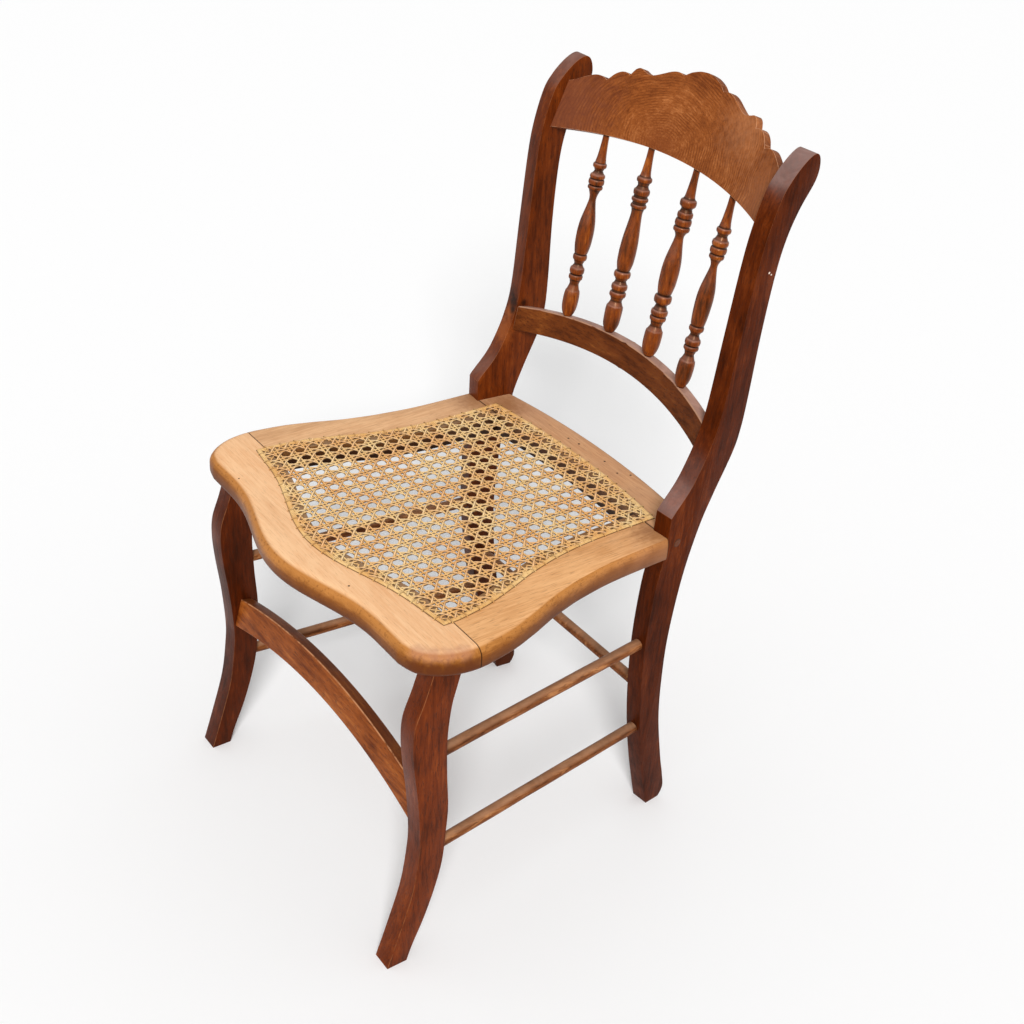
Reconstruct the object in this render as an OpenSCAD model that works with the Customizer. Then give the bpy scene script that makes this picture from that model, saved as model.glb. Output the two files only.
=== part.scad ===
// Cane seat side chair with a bowed, scalloped crest rail and four turned spindles.
// The chair faces -Y. The origin lies on the floor, under the middle of the chair's box.

/* [Seat frame] */
// Height of the seat's top face above the floor
seat_h = 445; // [420:1:470]
// Thickness of the four seat rails
seat_t = 28; // [22:1:32]
// Greatest width of the seat, across its front corners
seat_w = 522; // [500:1:560]
// Width across the back ends of the side rails
back_w = 408; // [400:1:416]
// Length of the side rails, from the front joint to the hip of the rear post
side_len = 299; // [280:1:320]
// Depth of the front rail at its corners
front_d = 70; // [64:1:80]
// How far the middle of the front rail swells forward of its corners
front_bulge = 32; // [20:1:40]
// Depth of the back rail, from the hip's front to its back edge in the middle
back_d = 64; // [56:1:70]
// Rounding of the seat's upper outer edge
edge_top_r = 12; // [6:0.5:13]
// Rounding of the seat's lower outer edge
edge_low_r = 7; // [4:0.5:10]

/* [Cane] */
// Distance from the front edge of the seat to the cane, in the middle
cane_front_margin = 46; // [42:1:52]
// Distance from the side of the seat to the cane, at the front
cane_side_margin = 53; // [50:1:60]
// Width of the wooden lip that the cane lies on
cane_lip = 19; // [16:1:22]
// Width of the binding strip round the cane
binder_w = 6.5; // [5:0.5:8]
// Thickness of the binding strip
binder_t = 1.6; // [1.2:0.1:2.4]
// Thickness of the woven cane
cane_t = 1.8; // [1.2:0.1:2.4]
// Spacing of the gaps in the weave across the seat
cane_pitch_x = 19.05; // [17:0.05:21]
// Spacing of the gaps in the weave from front to back
cane_pitch_y = 19.05; // [17:0.05:21]
// Width of a gap in the weave
cane_gap = 10.4; // [8:0.2:11]
// Spacing of the drilled holes round the seat
hole_pitch = 19; // [17:0.5:22]
// Diameter of the drilled holes
hole_d = 4.5; // [3.5:0.5:5.5]

/* [Front legs] */
// Thickness of a front leg
leg_t = 26; // [22:1:30]
// How far the seat's side stands out beyond the outer face of a front leg
leg_overhang = 24.5; // [16:0.5:32]
// Diameter of the round tenon on top of a front leg
leg_tenon_d = 16; // [12:1:18]
// Length of the round tenon on top of a front leg
leg_tenon_len = 18; // [12:1:20]

/* [Rear posts] */
// Thickness of a rear post
post_t = 23; // [20:1:26]
// Distance of a post's outer face from the middle, at the front of the hip
hip_x = 201.6; // [198:0.2:206]
// Angle at which the posts close in towards the back, in degrees
post_toe = 6.1; // [4:0.1:8]
// Angle at which the posts lean outwards, in degrees
post_lean = 2.15; // [1:0.05:3]
// Height of the hip's front face above the seat
hip_h = 27; // [22:1:32]
// Height of the top of a post above the seat
post_rise = 434; // [420:1:450]

/* [Back rails] */
// Height of the crest rail's lower corners above the seat
crest_z = 354; // [345:1:362]
// Distance of the crest rail's lower corners behind the hip
crest_y = 88; // [84:1:92]
// Lean of the crest rail, in degrees
crest_rake = 22.7; // [18:0.1:26]
// How far the crest rail bows backwards in the middle
crest_bow = 30; // [24:1:36]
// Rise of the arch under the crest rail
crest_arch = 26; // [20:1:30]
// Height of the crest rail's middle lobe above its lower corners
crest_h = 126; // [120:1:134]
// Thickness of the crest rail
crest_t = 11; // [10:1:22]
// Height of the lower back rail's upper corners above the seat
lower_z = 124; // [112:0.5:128]
// Distance of the lower back rail's upper corners behind the hip
lower_y = 53; // [48:1:60]
// Lean of the lower back rail, in degrees
lower_rake = 11.7; // [8:0.1:14]
// How far the lower back rail bows backwards in the middle
lower_bow = 27; // [22:1:32]
// Rise of the arch of the lower back rail
lower_arch = 23; // [18:1:28]
// Height of the lower back rail's face
lower_h = 33; // [26:1:36]
// Thickness of the lower back rail
lower_t = 16; // [12:1:22]

/* [Spindles] */
// Places of the four spindles on the lower back rail, from its middle
spindle_low_x = [-107.5, -37, 37.5, 109]; // [-120:0.5:120]
// Places of the four spindles under the crest rail, from its middle
spindle_top_x = [-110.5, -41, 38, 112.5]; // [-120:0.5:120]
// Depth of the spindle sockets in the lower back rail
spindle_low_in = 10; // [8:1:12]
// Depth of the spindle sockets in the crest rail
spindle_top_in = 7; // [6:0.5:9]

/* [Stretchers] */
// Diameter of the round stretchers
stretcher_d = 14.5; // [11:0.5:16]
// Length of a round stretcher inside a leg or post
stretcher_in = 13; // [10:1:15]
// Heights of the left side's stretchers at the front leg
left_front_z = [281.5, 134]; // [120:1:300]
// Heights of the right side's stretchers at the front leg
right_front_z = [289, 152.5]; // [120:1:300]
// Heights of the side stretchers at the rear post
side_rear_z = [287, 146]; // [130:1:300]
// Height of the back stretcher
back_stretcher_z = 205; // [190:1:220]
// Height of the front stretcher's lower corners
front_stretcher_z = 190; // [180:1:200]
// Height of the front stretcher's face at its ends
front_stretcher_h = 40; // [34:1:44]
// Rise of the arch of the front stretcher
front_stretcher_arch = 28; // [20:1:34]
// Thickness of the front stretcher
front_stretcher_t = 16; // [13:1:20]
// Lean of the front stretcher, in degrees
front_stretcher_rake = 14; // [10:1:16]

/* [Fasteners] */
// Diameter of the dowels between the seat rails
dowel_d = 8; // [6:1:9]
// Length of the dowels between the seat rails
dowel_len = 36; // [30:1:38]
// Diameter of the screw shank in each post
screw_d = 5; // [4:0.5:6]
// Length of the screw in each post
screw_len = 45; // [38:1:50]
// Diameter of the wooden plug over each screw
plug_d = 11; // [9:0.5:13]
// Thickness of the wooden plug over each screw
plug_t = 5; // [4:0.5:6]
// Clearance between a tenon, dowel or rod and its socket, on each side
fit = 0.1; // [0.05:0.05:0.2]
// Free depth at the bottom of a socket
socket_relief = 0.5; // [0.3:0.1:1]

/* [Hidden] */

seat_low = seat_h - seat_t;
seat_mid = seat_h - seat_t / 2;
half_w = seat_w / 2;
half_back = back_w / 2;
$fn = 48;
// Steps of the splines, and steps of a rounded edge
curve_steps = 4;
round_steps = 4;

stained = "#5a2d18";
honey = "#d9a066";
brown = "#8a5230";
straw = "#d8b878";

// The crest leans back furthest, so the chair's box ends behind the middle of the crest rail.
box_back = side_len + crest_y + crest_h * sin(crest_rake) + (crest_bow + crest_t) * cos(crest_rake);
// Distance from the front joint line back to the origin
origin_back = (box_back - front_d - front_bulge) / 2;

// Curves

function spline_point(a, b, c, d, t) =
  0.5 * (2 * b + (c - a) * t + (2 * a - 5 * b + 4 * c - d) * t * t + (3 * b - a - 3 * c + d) * t * t * t);

// A smooth curve through the points p
function spline(p, steps = curve_steps) = let (last = len(p) - 1) [
  for (i = [0 : last - 1])
    let (a = p[max(i - 1, 0)], b = p[i], c = p[i + 1], d = p[min(i + 2, last)])
    for (k = [0 : steps - 1]) spline_point(a, b, c, d, k / steps),
  p[last]
];

function reversed(p) = [for (i = [len(p) - 1 : -1 : 0]) p[i]];
function mirrored_x(p) = [for (q = reversed(p)) [-q[0], q[1]]];
function joined(a, b) = concat(a, [for (i = [1 : len(b) - 1]) b[i]]);
function flipped(p) = [for (q = p) [q[1], q[0]]];
function unit(v) = v / norm(v);
function span(a, b, n) = [for (i = [0 : n]) a + (b - a) * i / n];

// Height of an arch of the given rise over the half width, at x
function arch(x, rise, half) = rise * (1 - pow(x / half, 2));

// The closed path p moved inwards by d, where p runs anticlockwise
function left_of(v) = [-v[1], v[0]];
function inset(p, d) = let (n = len(p)) [
  for (i = [0 : n - 1])
    let (
      before = left_of(unit(p[i] - p[(i + n - 1) % n])),
      after = left_of(unit(p[(i + 1) % n] - p[i]))
    )
    p[i] + d * (before + after) / (1 + before * after)
];

// Points at an even pitch along the closed path p, each with its inward direction
function lengths(p, i = 0, sum = 0, out = []) = i > len(p) ? out
  : lengths(p, i + 1, sum + (i < len(p) ? norm(p[(i + 1) % len(p)] - p[i]) : 0), concat(out, [sum]));
function stations(p, pitch) = let (
    run = lengths(p),
    total = run[len(p)],
    count = round(total / pitch),
    at = [for (i = [0 : len(p)]) [run[i], i]]
  ) [
    for (k = [0 : count - 1])
      let (
        s = (k + 0.5) * total / count,
        f = lookup(s, at),
        i = floor(f),
        a = p[i % len(p)],
        b = p[(i + 1) % len(p)]
      )
      [a + (b - a) * (f - i), left_of(unit(b - a))]
  ];

// Outlines of the seat, seen from above, with y = 0 on the joint between front and side rails

// The side of the seat: share of the rail's length, and how much of the taper is done there
side_curve = [
  [0.023, 0], [0.16, 0.13], [0.28, 0.33], [0.34, 0.45], [0.4, 0.57],
  [0.47, 0.68], [0.55, 0.79], [0.67, 0.9], [0.8, 0.96], [1, 1]
];
side_points = [for (c = side_curve) [half_w - c[1] * (half_w - half_back), c[0] * side_len]];
// The rounded front corner, measured in from the seat's side
corner_points = [
  [half_w - 51, -front_d], [half_w - 30, -front_d + 6], [half_w - 15, -front_d + 20],
  [half_w - 5, -front_d + 39], [half_w - 0.5, -front_d + 60], side_points[0]
];
// Half the width of the swelling in the front rail, and how sharply it rises
bulge_half = 172;
bulge_power = 1.15;
function front_y(x) = abs(x) < bulge_half
  ? -front_d - front_bulge * pow((1 + cos(180 * x / bulge_half)) / 2, bulge_power)
  : -front_d;

side_path = spline(side_points, 3);
corner_path = spline(corner_points, 3);
side_table = flipped(side_path);
function side_x(y) = lookup(y, side_table);

// The front edge from the middle to the right corner
front_edge = [for (x = span(0, bulge_half, 12)) [x, front_y(x)]];
// The corner from its front end to the joint line, and the side behind the joint line
corner_to_joint = concat([for (p = corner_path) if (p[1] < -1) p], [[side_x(0), 0]]);
side_from_joint = concat([[side_x(0), 0]], [for (p = side_path) if (p[1] > 9) p]);

// Outlines of the cane: it follows the rails at a margin that narrows towards the back
cane_corner_lift = 12;
cane_back_bow = 12;
margin_taper = 9;
cane_corner_x = half_w - cane_side_margin;
function cane_front(x) = front_y(x) + cane_front_margin + cane_corner_lift * pow(abs(x) / cane_corner_x, 3);
function cane_side(y) = side_x(y) - cane_side_margin + margin_taper * max(y, 0) / side_len;
cane_back_x = cane_side(side_len);
cane_back_gap = 27;
function cane_back(x) = side_len + cane_back_gap - cane_back_bow * pow(x / cane_back_x, 2);

cane_front_path = [for (x = span(-cane_corner_x, cane_corner_x, 36)) [x, cane_front(x)]];
cane_side_path = [for (y = span(cane_front(cane_corner_x), cane_back(cane_back_x), 18)) [cane_side(y), y]];
cane_back_path = [for (x = span(cane_back_x, -cane_back_x, 12)) [x, cane_back(x)]];
cane_path = let (
    half_ring = joined(joined(cane_front_path, cane_side_path), cane_back_path),
    ring = joined(half_ring, mirrored_x(cane_side_path))
  ) [for (i = [0 : len(ring) - 2]) ring[i]];
holes = stations(inset(cane_path, binder_w / 2), hole_pitch);

// Outlines of the opening under the cane
function open_side(y) = cane_side(y) - cane_lip;
function between(p, low, high) = [for (q = p) if (q[1] > low && q[1] < high) q];
opening_front = [for (x = span(0, open_side(0), 14)) [x, cane_front(x) + cane_lip]];
opening_side = [for (y = span(0, side_len, 18)) [open_side(y), y]];
opening_back = [for (x = span(open_side(side_len), 0, 14)) [x, cane_back(x) - cane_lip]];
opening_half = concat(
  between(opening_front, -front_d, -0.05),
  opening_side,
  between(opening_back, side_len + 0.05, side_len + back_d)
);
module opening() {
  both_sides() translate([0, 0, seat_low - 1]) linear_extrude(seat_t + 2) polygon(concat(
    opening_half,
    [[-1, opening_half[len(opening_half) - 1][1]], [-1, opening_half[0][1]]]
  ));
}

// Rounded rails: the outer path has rounded edges, and the inner path closes the outline.
// ease gives each outer point its share of the rounding.

function squared(v) = abs(v[0]) > abs(v[1]) ? [sign(v[0]), 0] : [0, sign(v[1])];
function normal_at(p, i) = let (
    last = len(p) - 1,
    v = -left_of(unit(p[min(i + 1, last)] - p[max(i - 1, 0)]))
  )
  i == 0 || i == last ? squared(v) : v;

function ring_levels(top_r, low_r) = concat(
  [for (a = span(0, 90, round_steps)) [seat_low + low_r * (1 - cos(a)), low_r * (1 - sin(a))]],
  [for (a = span(90, 0, round_steps)) [seat_h - top_r * (1 - cos(a)), top_r * (1 - sin(a))]]
);

module rounded_rail(outer, inner, ease, top_r, low_r) {
  n = len(outer) + len(inner);
  levels = ring_levels(top_r, low_r);
  rows = len(levels);
  points = [
    for (level = levels)
      for (i = [0 : n - 1])
        let (
          base = i < len(outer) ? outer[i] : inner[i - len(outer)],
          out = i < len(outer) ? normal_at(outer, i) * ease[i] : [0, 0],
          q = base - out * level[1]
        )
        [q[0], q[1], level[0]]
  ];
  sides = [
    for (k = [0 : rows - 2])
      for (i = [0 : n - 1])
        let (a = k * n + i, b = k * n + (i + 1) % n, c = b + n, d = a + n)
        each [[a, d, c], [a, c, b]]
  ];
  caps = [[for (i = [0 : n - 1]) i], [for (i = [n - 1 : -1 : 0]) (rows - 1) * n + i]];
  polyhedron(points, concat(caps, sides), 6);
}

// Places and directions

module rod(a, b, d) {
  v = b - a;
  translate(a) rotate([0, acos(v[2] / norm(v)), atan2(v[1], v[0])]) cylinder(d = d, h = norm(v));
}

module on_side(side) {
  if (side == "left") mirror([1, 0, 0]) children();
  else children();
}

module both_sides() {
  children();
  mirror([1, 0, 0]) children();
}

// The right post's own frame: x across its thickness from the outer face inwards as a negative
// number, y back from the front of the hip, z up from the seat's top face
module post_frame() {
  translate([hip_x, side_len, seat_h]) rotate([0, 0, post_toe]) rotate([0, post_lean, 0]) children();
}
function post_at(x, y, z) = let (
    u = x * cos(post_lean) + z * sin(post_lean),
    w = z * cos(post_lean) - x * sin(post_lean)
  ) [
    hip_x + u * cos(post_toe) - y * sin(post_toe),
    side_len + u * sin(post_toe) + y * cos(post_toe),
    seat_h + w
  ];
function in_post(p) = let (
    dx = p[0] - hip_x,
    dy = p[1] - side_len,
    u = dx * cos(post_toe) + dy * sin(post_toe),
    z = p[2] - seat_h
  ) [
    u * cos(post_lean) - z * sin(post_lean),
    dy * cos(post_toe) - dx * sin(post_toe),
    z * cos(post_lean) + u * sin(post_lean)
  ];
// All that lies beyond the inner face of the right post
module beyond_post() {
  post_frame() translate([-post_t, -300, -600]) cube([400, 900, 1300]);
}

// The rear post's side view. Low points give a share of the seat's height, high points a height
// above the seat, each with the distance behind the hip's front face.
post_front_low = [[-0.01, 49.5], [0.18, 25], [0.36, 7], [0.54, -4.2], [0.69, -8.4], [0.84, -6.6]];
post_front_high = [
  [34, 6], [55, 24], [75, 35.5], [105, 48], [145, 57.5], [235, 65.5],
  [315, 73], [355, 79.5], [393, 91], [411, 102.5], [424, 115.5], [431.5, 126.5], [434, 135]
];
post_end = [[431, 141], [423, 144.5], [412, 145], [399, 140.5]];
post_back_high = [
  [375, 125], [345, 112.5], [305, 105], [235, 100.3], [155, 98.7],
  [115, 96.3], [85, 89.5], [35, 67.7], [-5, 53]
];
post_back_low = [
  [0.85, 39.5], [0.68, 32.5], [0.54, 33.2], [0.36, 41.4], [0.18, 60], [0.09, 71.5], [0.03, 77]
];
post_heel = [-0.01, 68];
// The high points were set out for this rise
post_rise_drawn = 434;
function low_point(p) = [p[1], (p[0] - 1) * seat_h];
function high_point(p) = [
  p[1],
  p[0] + (post_rise - post_rise_drawn) * pow(max(p[0], 0) / post_rise_drawn, 2)
];
post_front_path = spline(concat(
  [for (p = post_front_low) low_point(p)],
  [[-1, -seat_t - 6], [0, -seat_t]]
));
post_top_path = spline(concat(
  [[0.5, hip_h]],
  [for (p = concat(post_front_high, post_end, post_back_high)) high_point(p)],
  [for (p = post_back_low) low_point(p)],
  [low_point(post_heel)]
));
function post_front_at(z) = lookup(z - seat_h, flipped(post_front_path));

// The front leg's side view: share of the leg's height, and distance behind the front joint line
leg_front_curve = [
  [-0.01, -90.7], [0.1, -76], [0.24, -59], [0.36, -51.8], [0.44, -50.3], [0.57, -54.5],
  [0.69, -61], [0.775, -63.7], [0.84, -61.5], [0.91, -51], [1, -39.5]
];
leg_back_curve = [
  [-0.01, -64.3], [0.05, -56.2], [0.14, -40.9], [0.24, -27.6], [0.33, -19.4], [0.43, -16.3],
  [0.52, -14.8], [0.64, -18.3], [0.76, -20], [0.86, -16.7], [0.93, -10], [1, -2.5]
];
function leg_point(p) = [p[1], p[0] * seat_low];
leg_front_path = spline([for (p = leg_front_curve) leg_point(p)]);
leg_back_path = spline([for (p = leg_back_curve) leg_point(p)]);
function leg_back_at(z) = lookup(z, flipped(leg_back_path));
leg_x = half_w - leg_overhang - leg_t;
leg_mid = leg_x + leg_t / 2;
leg_tenon_y = -29;

// The seat's dowels: the front ones end behind the leg's tenon
dowel_front_x = [leg_mid - 3, leg_mid + 19];
dowel_back_x = hip_x - post_t - 10;
dowel_back_z = seat_low + 7.5;

// The screws through the posts
screw_y = 18;
screw_z = -12.5;
screw_head_d = 9.5;
screw_head_t = 3;

// Rails that lean back, bow and arch: rail = [y, z, rake, bow, half length, thickness]
post_inner_top = post_at(-post_t, crest_y, crest_z);
crest_half = post_inner_top[0];
post_inner_low = post_at(-post_t, lower_y, lower_z);
lower_half = post_inner_low[0];
crest = [side_len + crest_y, seat_h + crest_z, crest_rake, crest_bow, crest_half, crest_t];
lower = [side_len + lower_y, seat_h + lower_z, lower_rake, lower_bow, lower_half, lower_t];

function bow_radius(rail) = (pow(rail[4], 2) + pow(rail[3], 2)) / (2 * rail[3]);
function bow_at(rail, x) = rail[3] - bow_radius(rail) + sqrt(pow(bow_radius(rail), 2) - x * x);
// The place at x along the rail, n behind its front face and s up its slope
function rail_at(rail, x, n, s) = let (m = bow_at(rail, x) + n) [
    x,
    rail[0] + m * cos(rail[2]) + s * sin(rail[2]),
    rail[1] + s * cos(rail[2]) - m * sin(rail[2])
  ];

module rail_frame(rail) {
  translate([0, rail[0], rail[1]]) rotate([-rail[2], 0, 0]) children();
}

// The bowed board between the posts, cut to the outline given as [x, slope height]
module bowed_board(rail, outline) {
  radius = bow_radius(rail);
  difference() {
    rail_frame(rail) intersection() {
      translate([0, rail[3] - radius, -100]) difference() {
        cylinder(r = radius + rail[5], h = 300, $fn = 360);
        translate([0, 0, -1]) cylinder(r = radius, h = 302, $fn = 360);
      }
      translate([0, 100, 0]) rotate([90, 0, 0]) linear_extrude(200) polygon(outline);
    }
    both_sides() beyond_post();
  }
}

// The flat tenon at the right end of a bowed rail, centred at slope height s
tenon_in = 12;
tenon_overlap = 3;
module rail_tenon(rail, s, height, thick, grow = 0) {
  c = in_post(rail_at(rail, rail[4], rail[5] / 2, s));
  reach = tenon_in + tenon_overlap + (grow > 0 ? socket_relief : 0);
  post_frame() translate([-post_t - tenon_overlap, c[1], c[2]]) rotate([-rail[2], 0, 0])
    translate([0, -thick / 2 - grow, -height / 2 - grow]) cube([reach, thick + 2 * grow, height + 2 * grow]);
}
crest_tenon_s = crest_arch;
crest_tenon = [32, 8];
lower_tenon_s = -lower_h / 2;
lower_tenon = [18, 8];
module crest_tenon_shape(grow = 0) {
  rail_tenon(crest, crest_tenon_s, crest_tenon[0], crest_tenon[1], grow);
}
module lower_tenon_shape(grow = 0) {
  rail_tenon(lower, lower_tenon_s, lower_tenon[0], lower_tenon[1], grow);
}

// The scalloped top of the crest: lobes between notches, as drops from the middle lobe's top
crest_lobe_middle = [[0, 0], [12, -1.6], [24, -6.2], [33, -12.5]];
crest_lobe_second = [
  [33, -12.5], [42, -10.9], [52, -13.3], [64, -19.4], [74, -24.4], [81, -26.1],
  [89, -24.7], [96, -22.9], [101.5, -25.6], [105, -30.9], [107, -34.9]
];
crest_lobe_third = [[107, -34.7], [113, -33.4], [120, -35], [127, -40], [132, -46.5], [134.5, -50]];
crest_lobe_last = [[134.5, -50], [143, -48], [152, -49.5], [163, -55.5], [174, -63], [190, -72]];
crest_top_half = joined(
  joined(spline(crest_lobe_middle), spline(crest_lobe_second)),
  joined(spline(crest_lobe_third), spline(crest_lobe_last))
);
crest_top = [for (p = joined(mirrored_x(crest_top_half), crest_top_half)) [p[0], p[1] + crest_h]];
crest_bottom = [for (x = span(190, -190, 38)) [x, arch(x, crest_arch, crest_half)]];
lower_top = [for (x = span(-190, 190, 38)) [x, arch(x, lower_arch, lower_half)]];
lower_bottom = [for (p = reversed(lower_top)) [p[0], p[1] - lower_h]];

// Spindles, numbered from the left. The foot stands a little in front of the rail's middle.
spindle_foot_set = 5.5;
function spindle_foot(i) = let (x = spindle_low_x[i])
  rail_at(lower, x, spindle_foot_set, arch(x, lower_arch, lower_half));
function spindle_head(i) = let (x = spindle_top_x[i])
  rail_at(crest, x, crest_t / 2, arch(x, crest_arch, crest_half));
spindle_foot_r = 4.8;
spindle_head_r = 3.9;
// Each end sinks in by its shoulder, and a thinner tenon goes on to the bottom of the socket
spindle_shoulder = 2.5;
spindle_low_tenon_r = 3.6;
spindle_top_tenon_r = 3;
// The spindles were turned by hand and differ a little. Each row gives heights above the foot
// and radii: bulb, ridge, neck, beads 1 and 2, neck, bead 3, vase, neck, beads 4 to 6, neck,
// bead 7. A bead's third number is half its width.
turnings = [
  [
    [22.7, 9.9], [34.7, 8.8], [43.5, 5.8], [52.7, 8.8, 3.3],
    [61.3, 9.2, 4.2], [70, 5.4], [78.8, 8.8, 3.8],
    [108, 10.5], [154, 4.3], [168.5, 9.3, 2.4], [175.5, 9.8, 3.6],
    [182.3, 9.4, 2.8], [189.3, 5.3], [195.9, 8.5, 2.9]
  ],
  [
    [25, 10.6], [34.5, 10.2], [41.7, 7], [49.9, 10.3, 3.2],
    [59.5, 10, 3.8], [67.5, 6.8], [75.6, 10.3, 3.9],
    [101.7, 10.5], [153, 6.8], [162.3, 9.8, 2.3], [170.5, 10.2, 2.4],
    [179.6, 9.9, 3.7], [187.5, 6.5], [194.7, 9.3, 3]
  ],
  [
    [21.7, 10.7], [33, 10.2], [40, 6.7], [49.3, 9.9, 2.9],
    [56.6, 10.2, 3.6], [65.9, 6.7], [73.9, 10.6, 4.6],
    [106, 10.8], [151.7, 5.2], [161.5, 9.8, 3], [169.5, 9.8, 4.2],
    [178.2, 9.3, 3.6], [185.9, 6.5], [192.6, 9.8, 4.1]
  ],
  [
    [22.7, 9.9], [33.5, 9.1], [41.5, 5.7], [50, 8.9, 2.8],
    [57.3, 9.2, 3.8], [66.8, 5.3], [74.3, 8.8, 3.2],
    [107, 9.9], [151, 4.1], [162.3, 8.8, 2.8], [169.9, 9.6, 3.9],
    [178.2, 9.6, 3.4], [187, 5.8], [193.2, 8.5, 2.9]
  ]
];
groove = 1.7;
function bead(b) = let (z = b[0], r = b[1], w = b[2]) [
  [z - w, r - groove], [z - 0.7 * w, r - 0.5], [z, r], [z + 0.7 * w, r - 0.5], [z + w, r - groove]
];
// A cove between the bead or ridge that ends at a and the bead that starts at b
function cove(a, n, b) = [
  [(a[0] + 2 * n[0]) / 3, n[1] + 0.25 * (a[1] - n[1])],
  n,
  [(b[0] + 2 * n[0]) / 3, n[1] + 0.25 * (b[1] - n[1])]
];
function first(p) = p[0];
function final(p) = p[len(p) - 1];
// The vase falls from its widest place to the neck above it, as shares of height and radius
vase_fall = [[0.16, 0.975], [0.34, 0.86], [0.53, 0.62], [0.71, 0.34], [0.88, 0.1]];
function vase(foot, v, n) = concat(
  [foot, [foot[0] + 3, foot[1] + 0.3 * (v[1] - foot[1])], [(foot[0] + v[0]) / 2, v[1] - 0.5], v],
  [for (f = vase_fall) [v[0] + f[0] * (n[0] - v[0]), n[1] + f[1] * (v[1] - n[1])]],
  [n]
);
function spindle_profile(i) = let (
    t = turnings[i],
    bulb = t[0],
    ridge = t[1],
    b1 = bead(t[3]),
    b2 = bead(t[4]),
    b3 = bead(t[6]),
    b4 = bead(t[9]),
    b5 = bead(t[10]),
    b6 = bead(t[11]),
    b7 = bead(t[13]),
    neck = t[8],
    flare = first(b4),
    top = final(b7)
  ) concat(
    [[1, spindle_foot_r], [3.5, 0.67 * bulb[1]], [7.5, 0.83 * bulb[1]], [13.5, 0.95 * bulb[1]], bulb],
    [[ridge[0] - 4, (bulb[1] + ridge[1]) / 2 + 0.2], ridge, [ridge[0] + 1, ridge[1] - 0.9]],
    cove(ridge, t[2], first(b1)),
    b1, b2, cove(final(b2), t[5], first(b3)), b3,
    vase([final(b3)[0] + 0.5, 7.6], t[7], neck),
    [[0.5 * neck[0] + 0.5 * flare[0], 0.7 * neck[1] + 0.3 * flare[1]]],
    b4, b5, b6, cove(final(b6), t[12], first(b7)), b7,
    [[top[0] + 2.5, 6.4], [top[0] + 8, 5.5], [top[0] + 17, 4.7], [top[0] + 26, 4.1]]
  );
// The turnings were set out for a spindle of this length
spindle_drawn = 232.5;

module along(a, b) {
  v = b - a;
  translate(a) rotate([0, acos(v[2] / norm(v)), atan2(v[1], v[0])]) children();
}
// The stepped socket for a spindle's end, from the surface downwards
module spindle_socket(end_r, tenon_r, depth) {
  translate([0, 0, -spindle_shoulder - socket_relief]) cylinder(r = end_r + fit, h = spindle_shoulder + 8);
  translate([0, 0, -depth - socket_relief]) cylinder(r = tenon_r + fit, h = depth);
}
module spindle_sockets(foot) {
  for (i = [0 : 3]) {
    a = spindle_foot(i);
    b = spindle_head(i);
    if (foot) along(a, b) spindle_socket(spindle_foot_r, spindle_low_tenon_r, spindle_low_in);
    else along(b, a) spindle_socket(spindle_head_r, spindle_top_tenon_r, spindle_top_in);
  }
}

// Stretchers
function side_front_z(side) = side == "left" ? left_front_z : right_front_z;
function stretcher_front(side, k) = let (z = side_front_z(side)[k]) [leg_mid, leg_back_at(z), z];
function stretcher_rear(k) = let (z = side_rear_z[k]) post_at(-post_t / 2, post_front_at(z), z - seat_h);
// The rod's two ends, grown into its sockets by more
function stretcher_ends(side, k, more = 0) = let (
    a = stretcher_front(side, k),
    b = stretcher_rear(k),
    v = unit(b - a) * (stretcher_in + more)
  ) [a - v, b + v];
back_stretcher_y = 18;
function back_stretcher_end(more = 0) = let (
    p = post_at(-post_t, back_stretcher_y, back_stretcher_z - seat_h)
  ) [p[0] + stretcher_in + more, p[1], p[2]];

module side_sockets(side) {
  for (k = [0 : 1]) {
    ends = stretcher_ends(side, k, socket_relief);
    rod(ends[0], ends[1], stretcher_d + 2 * fit);
  }
}

module back_sockets() {
  p = back_stretcher_end(socket_relief);
  rod([-p[0], p[1], p[2]], p, stretcher_d + 2 * fit);
}

// The front stretcher is a flat arched board that leans back
front_stretcher_y = -48.5;
front_tenon = [24, 7];
module front_stretcher_frame() {
  translate([0, front_stretcher_y, front_stretcher_z]) rotate([-front_stretcher_rake, 0, 0]) children();
}
module front_tenons(grow = 0) {
  reach = leg_x + tenon_in + (grow > 0 ? socket_relief : 0);
  front_stretcher_frame()
    translate([-reach, (front_stretcher_t - front_tenon[1]) / 2, (front_stretcher_h - front_tenon[0]) / 2])
      translate([0, -grow, -grow])
        cube([2 * reach, front_tenon[1] + 2 * grow, front_tenon[0] + 2 * grow]);
}

// Seat rails

module drilled_holes() {
  for (h = holes)
    translate([h[0][0], h[0][1], seat_low - 1]) cylinder(d = hole_d, h = seat_t + 2, $fn = 24);
}
module dowels(grow = 0) {
  reach = dowel_len / 2 + (grow > 0 ? socket_relief : 0);
  both_sides() {
    for (x = dowel_front_x) rod([x, -reach, seat_mid], [x, reach, seat_mid], dowel_d + 2 * grow);
    rod([dowel_back_x, side_len - reach, dowel_back_z], [dowel_back_x, side_len + reach, dowel_back_z],
      dowel_d + 2 * grow);
  }
}
module leg_tenon(grow = 0) {
  root = 3;
  reach = leg_tenon_len + (grow > 0 ? socket_relief : 0);
  translate([leg_mid, leg_tenon_y, seat_low - root]) cylinder(d = leg_tenon_d + 2 * grow, h = root + reach);
}
module front_rail() {
  half = concat(front_edge, corner_to_joint);
  outer = joined(mirrored_x(half), half);
  color(honey) difference() {
    rounded_rail(outer, [], [for (p = outer) 1], edge_top_r, edge_low_r);
    opening();
    drilled_holes();
    dowels(fit);
    both_sides() leg_tenon(fit);
  }
}

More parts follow.
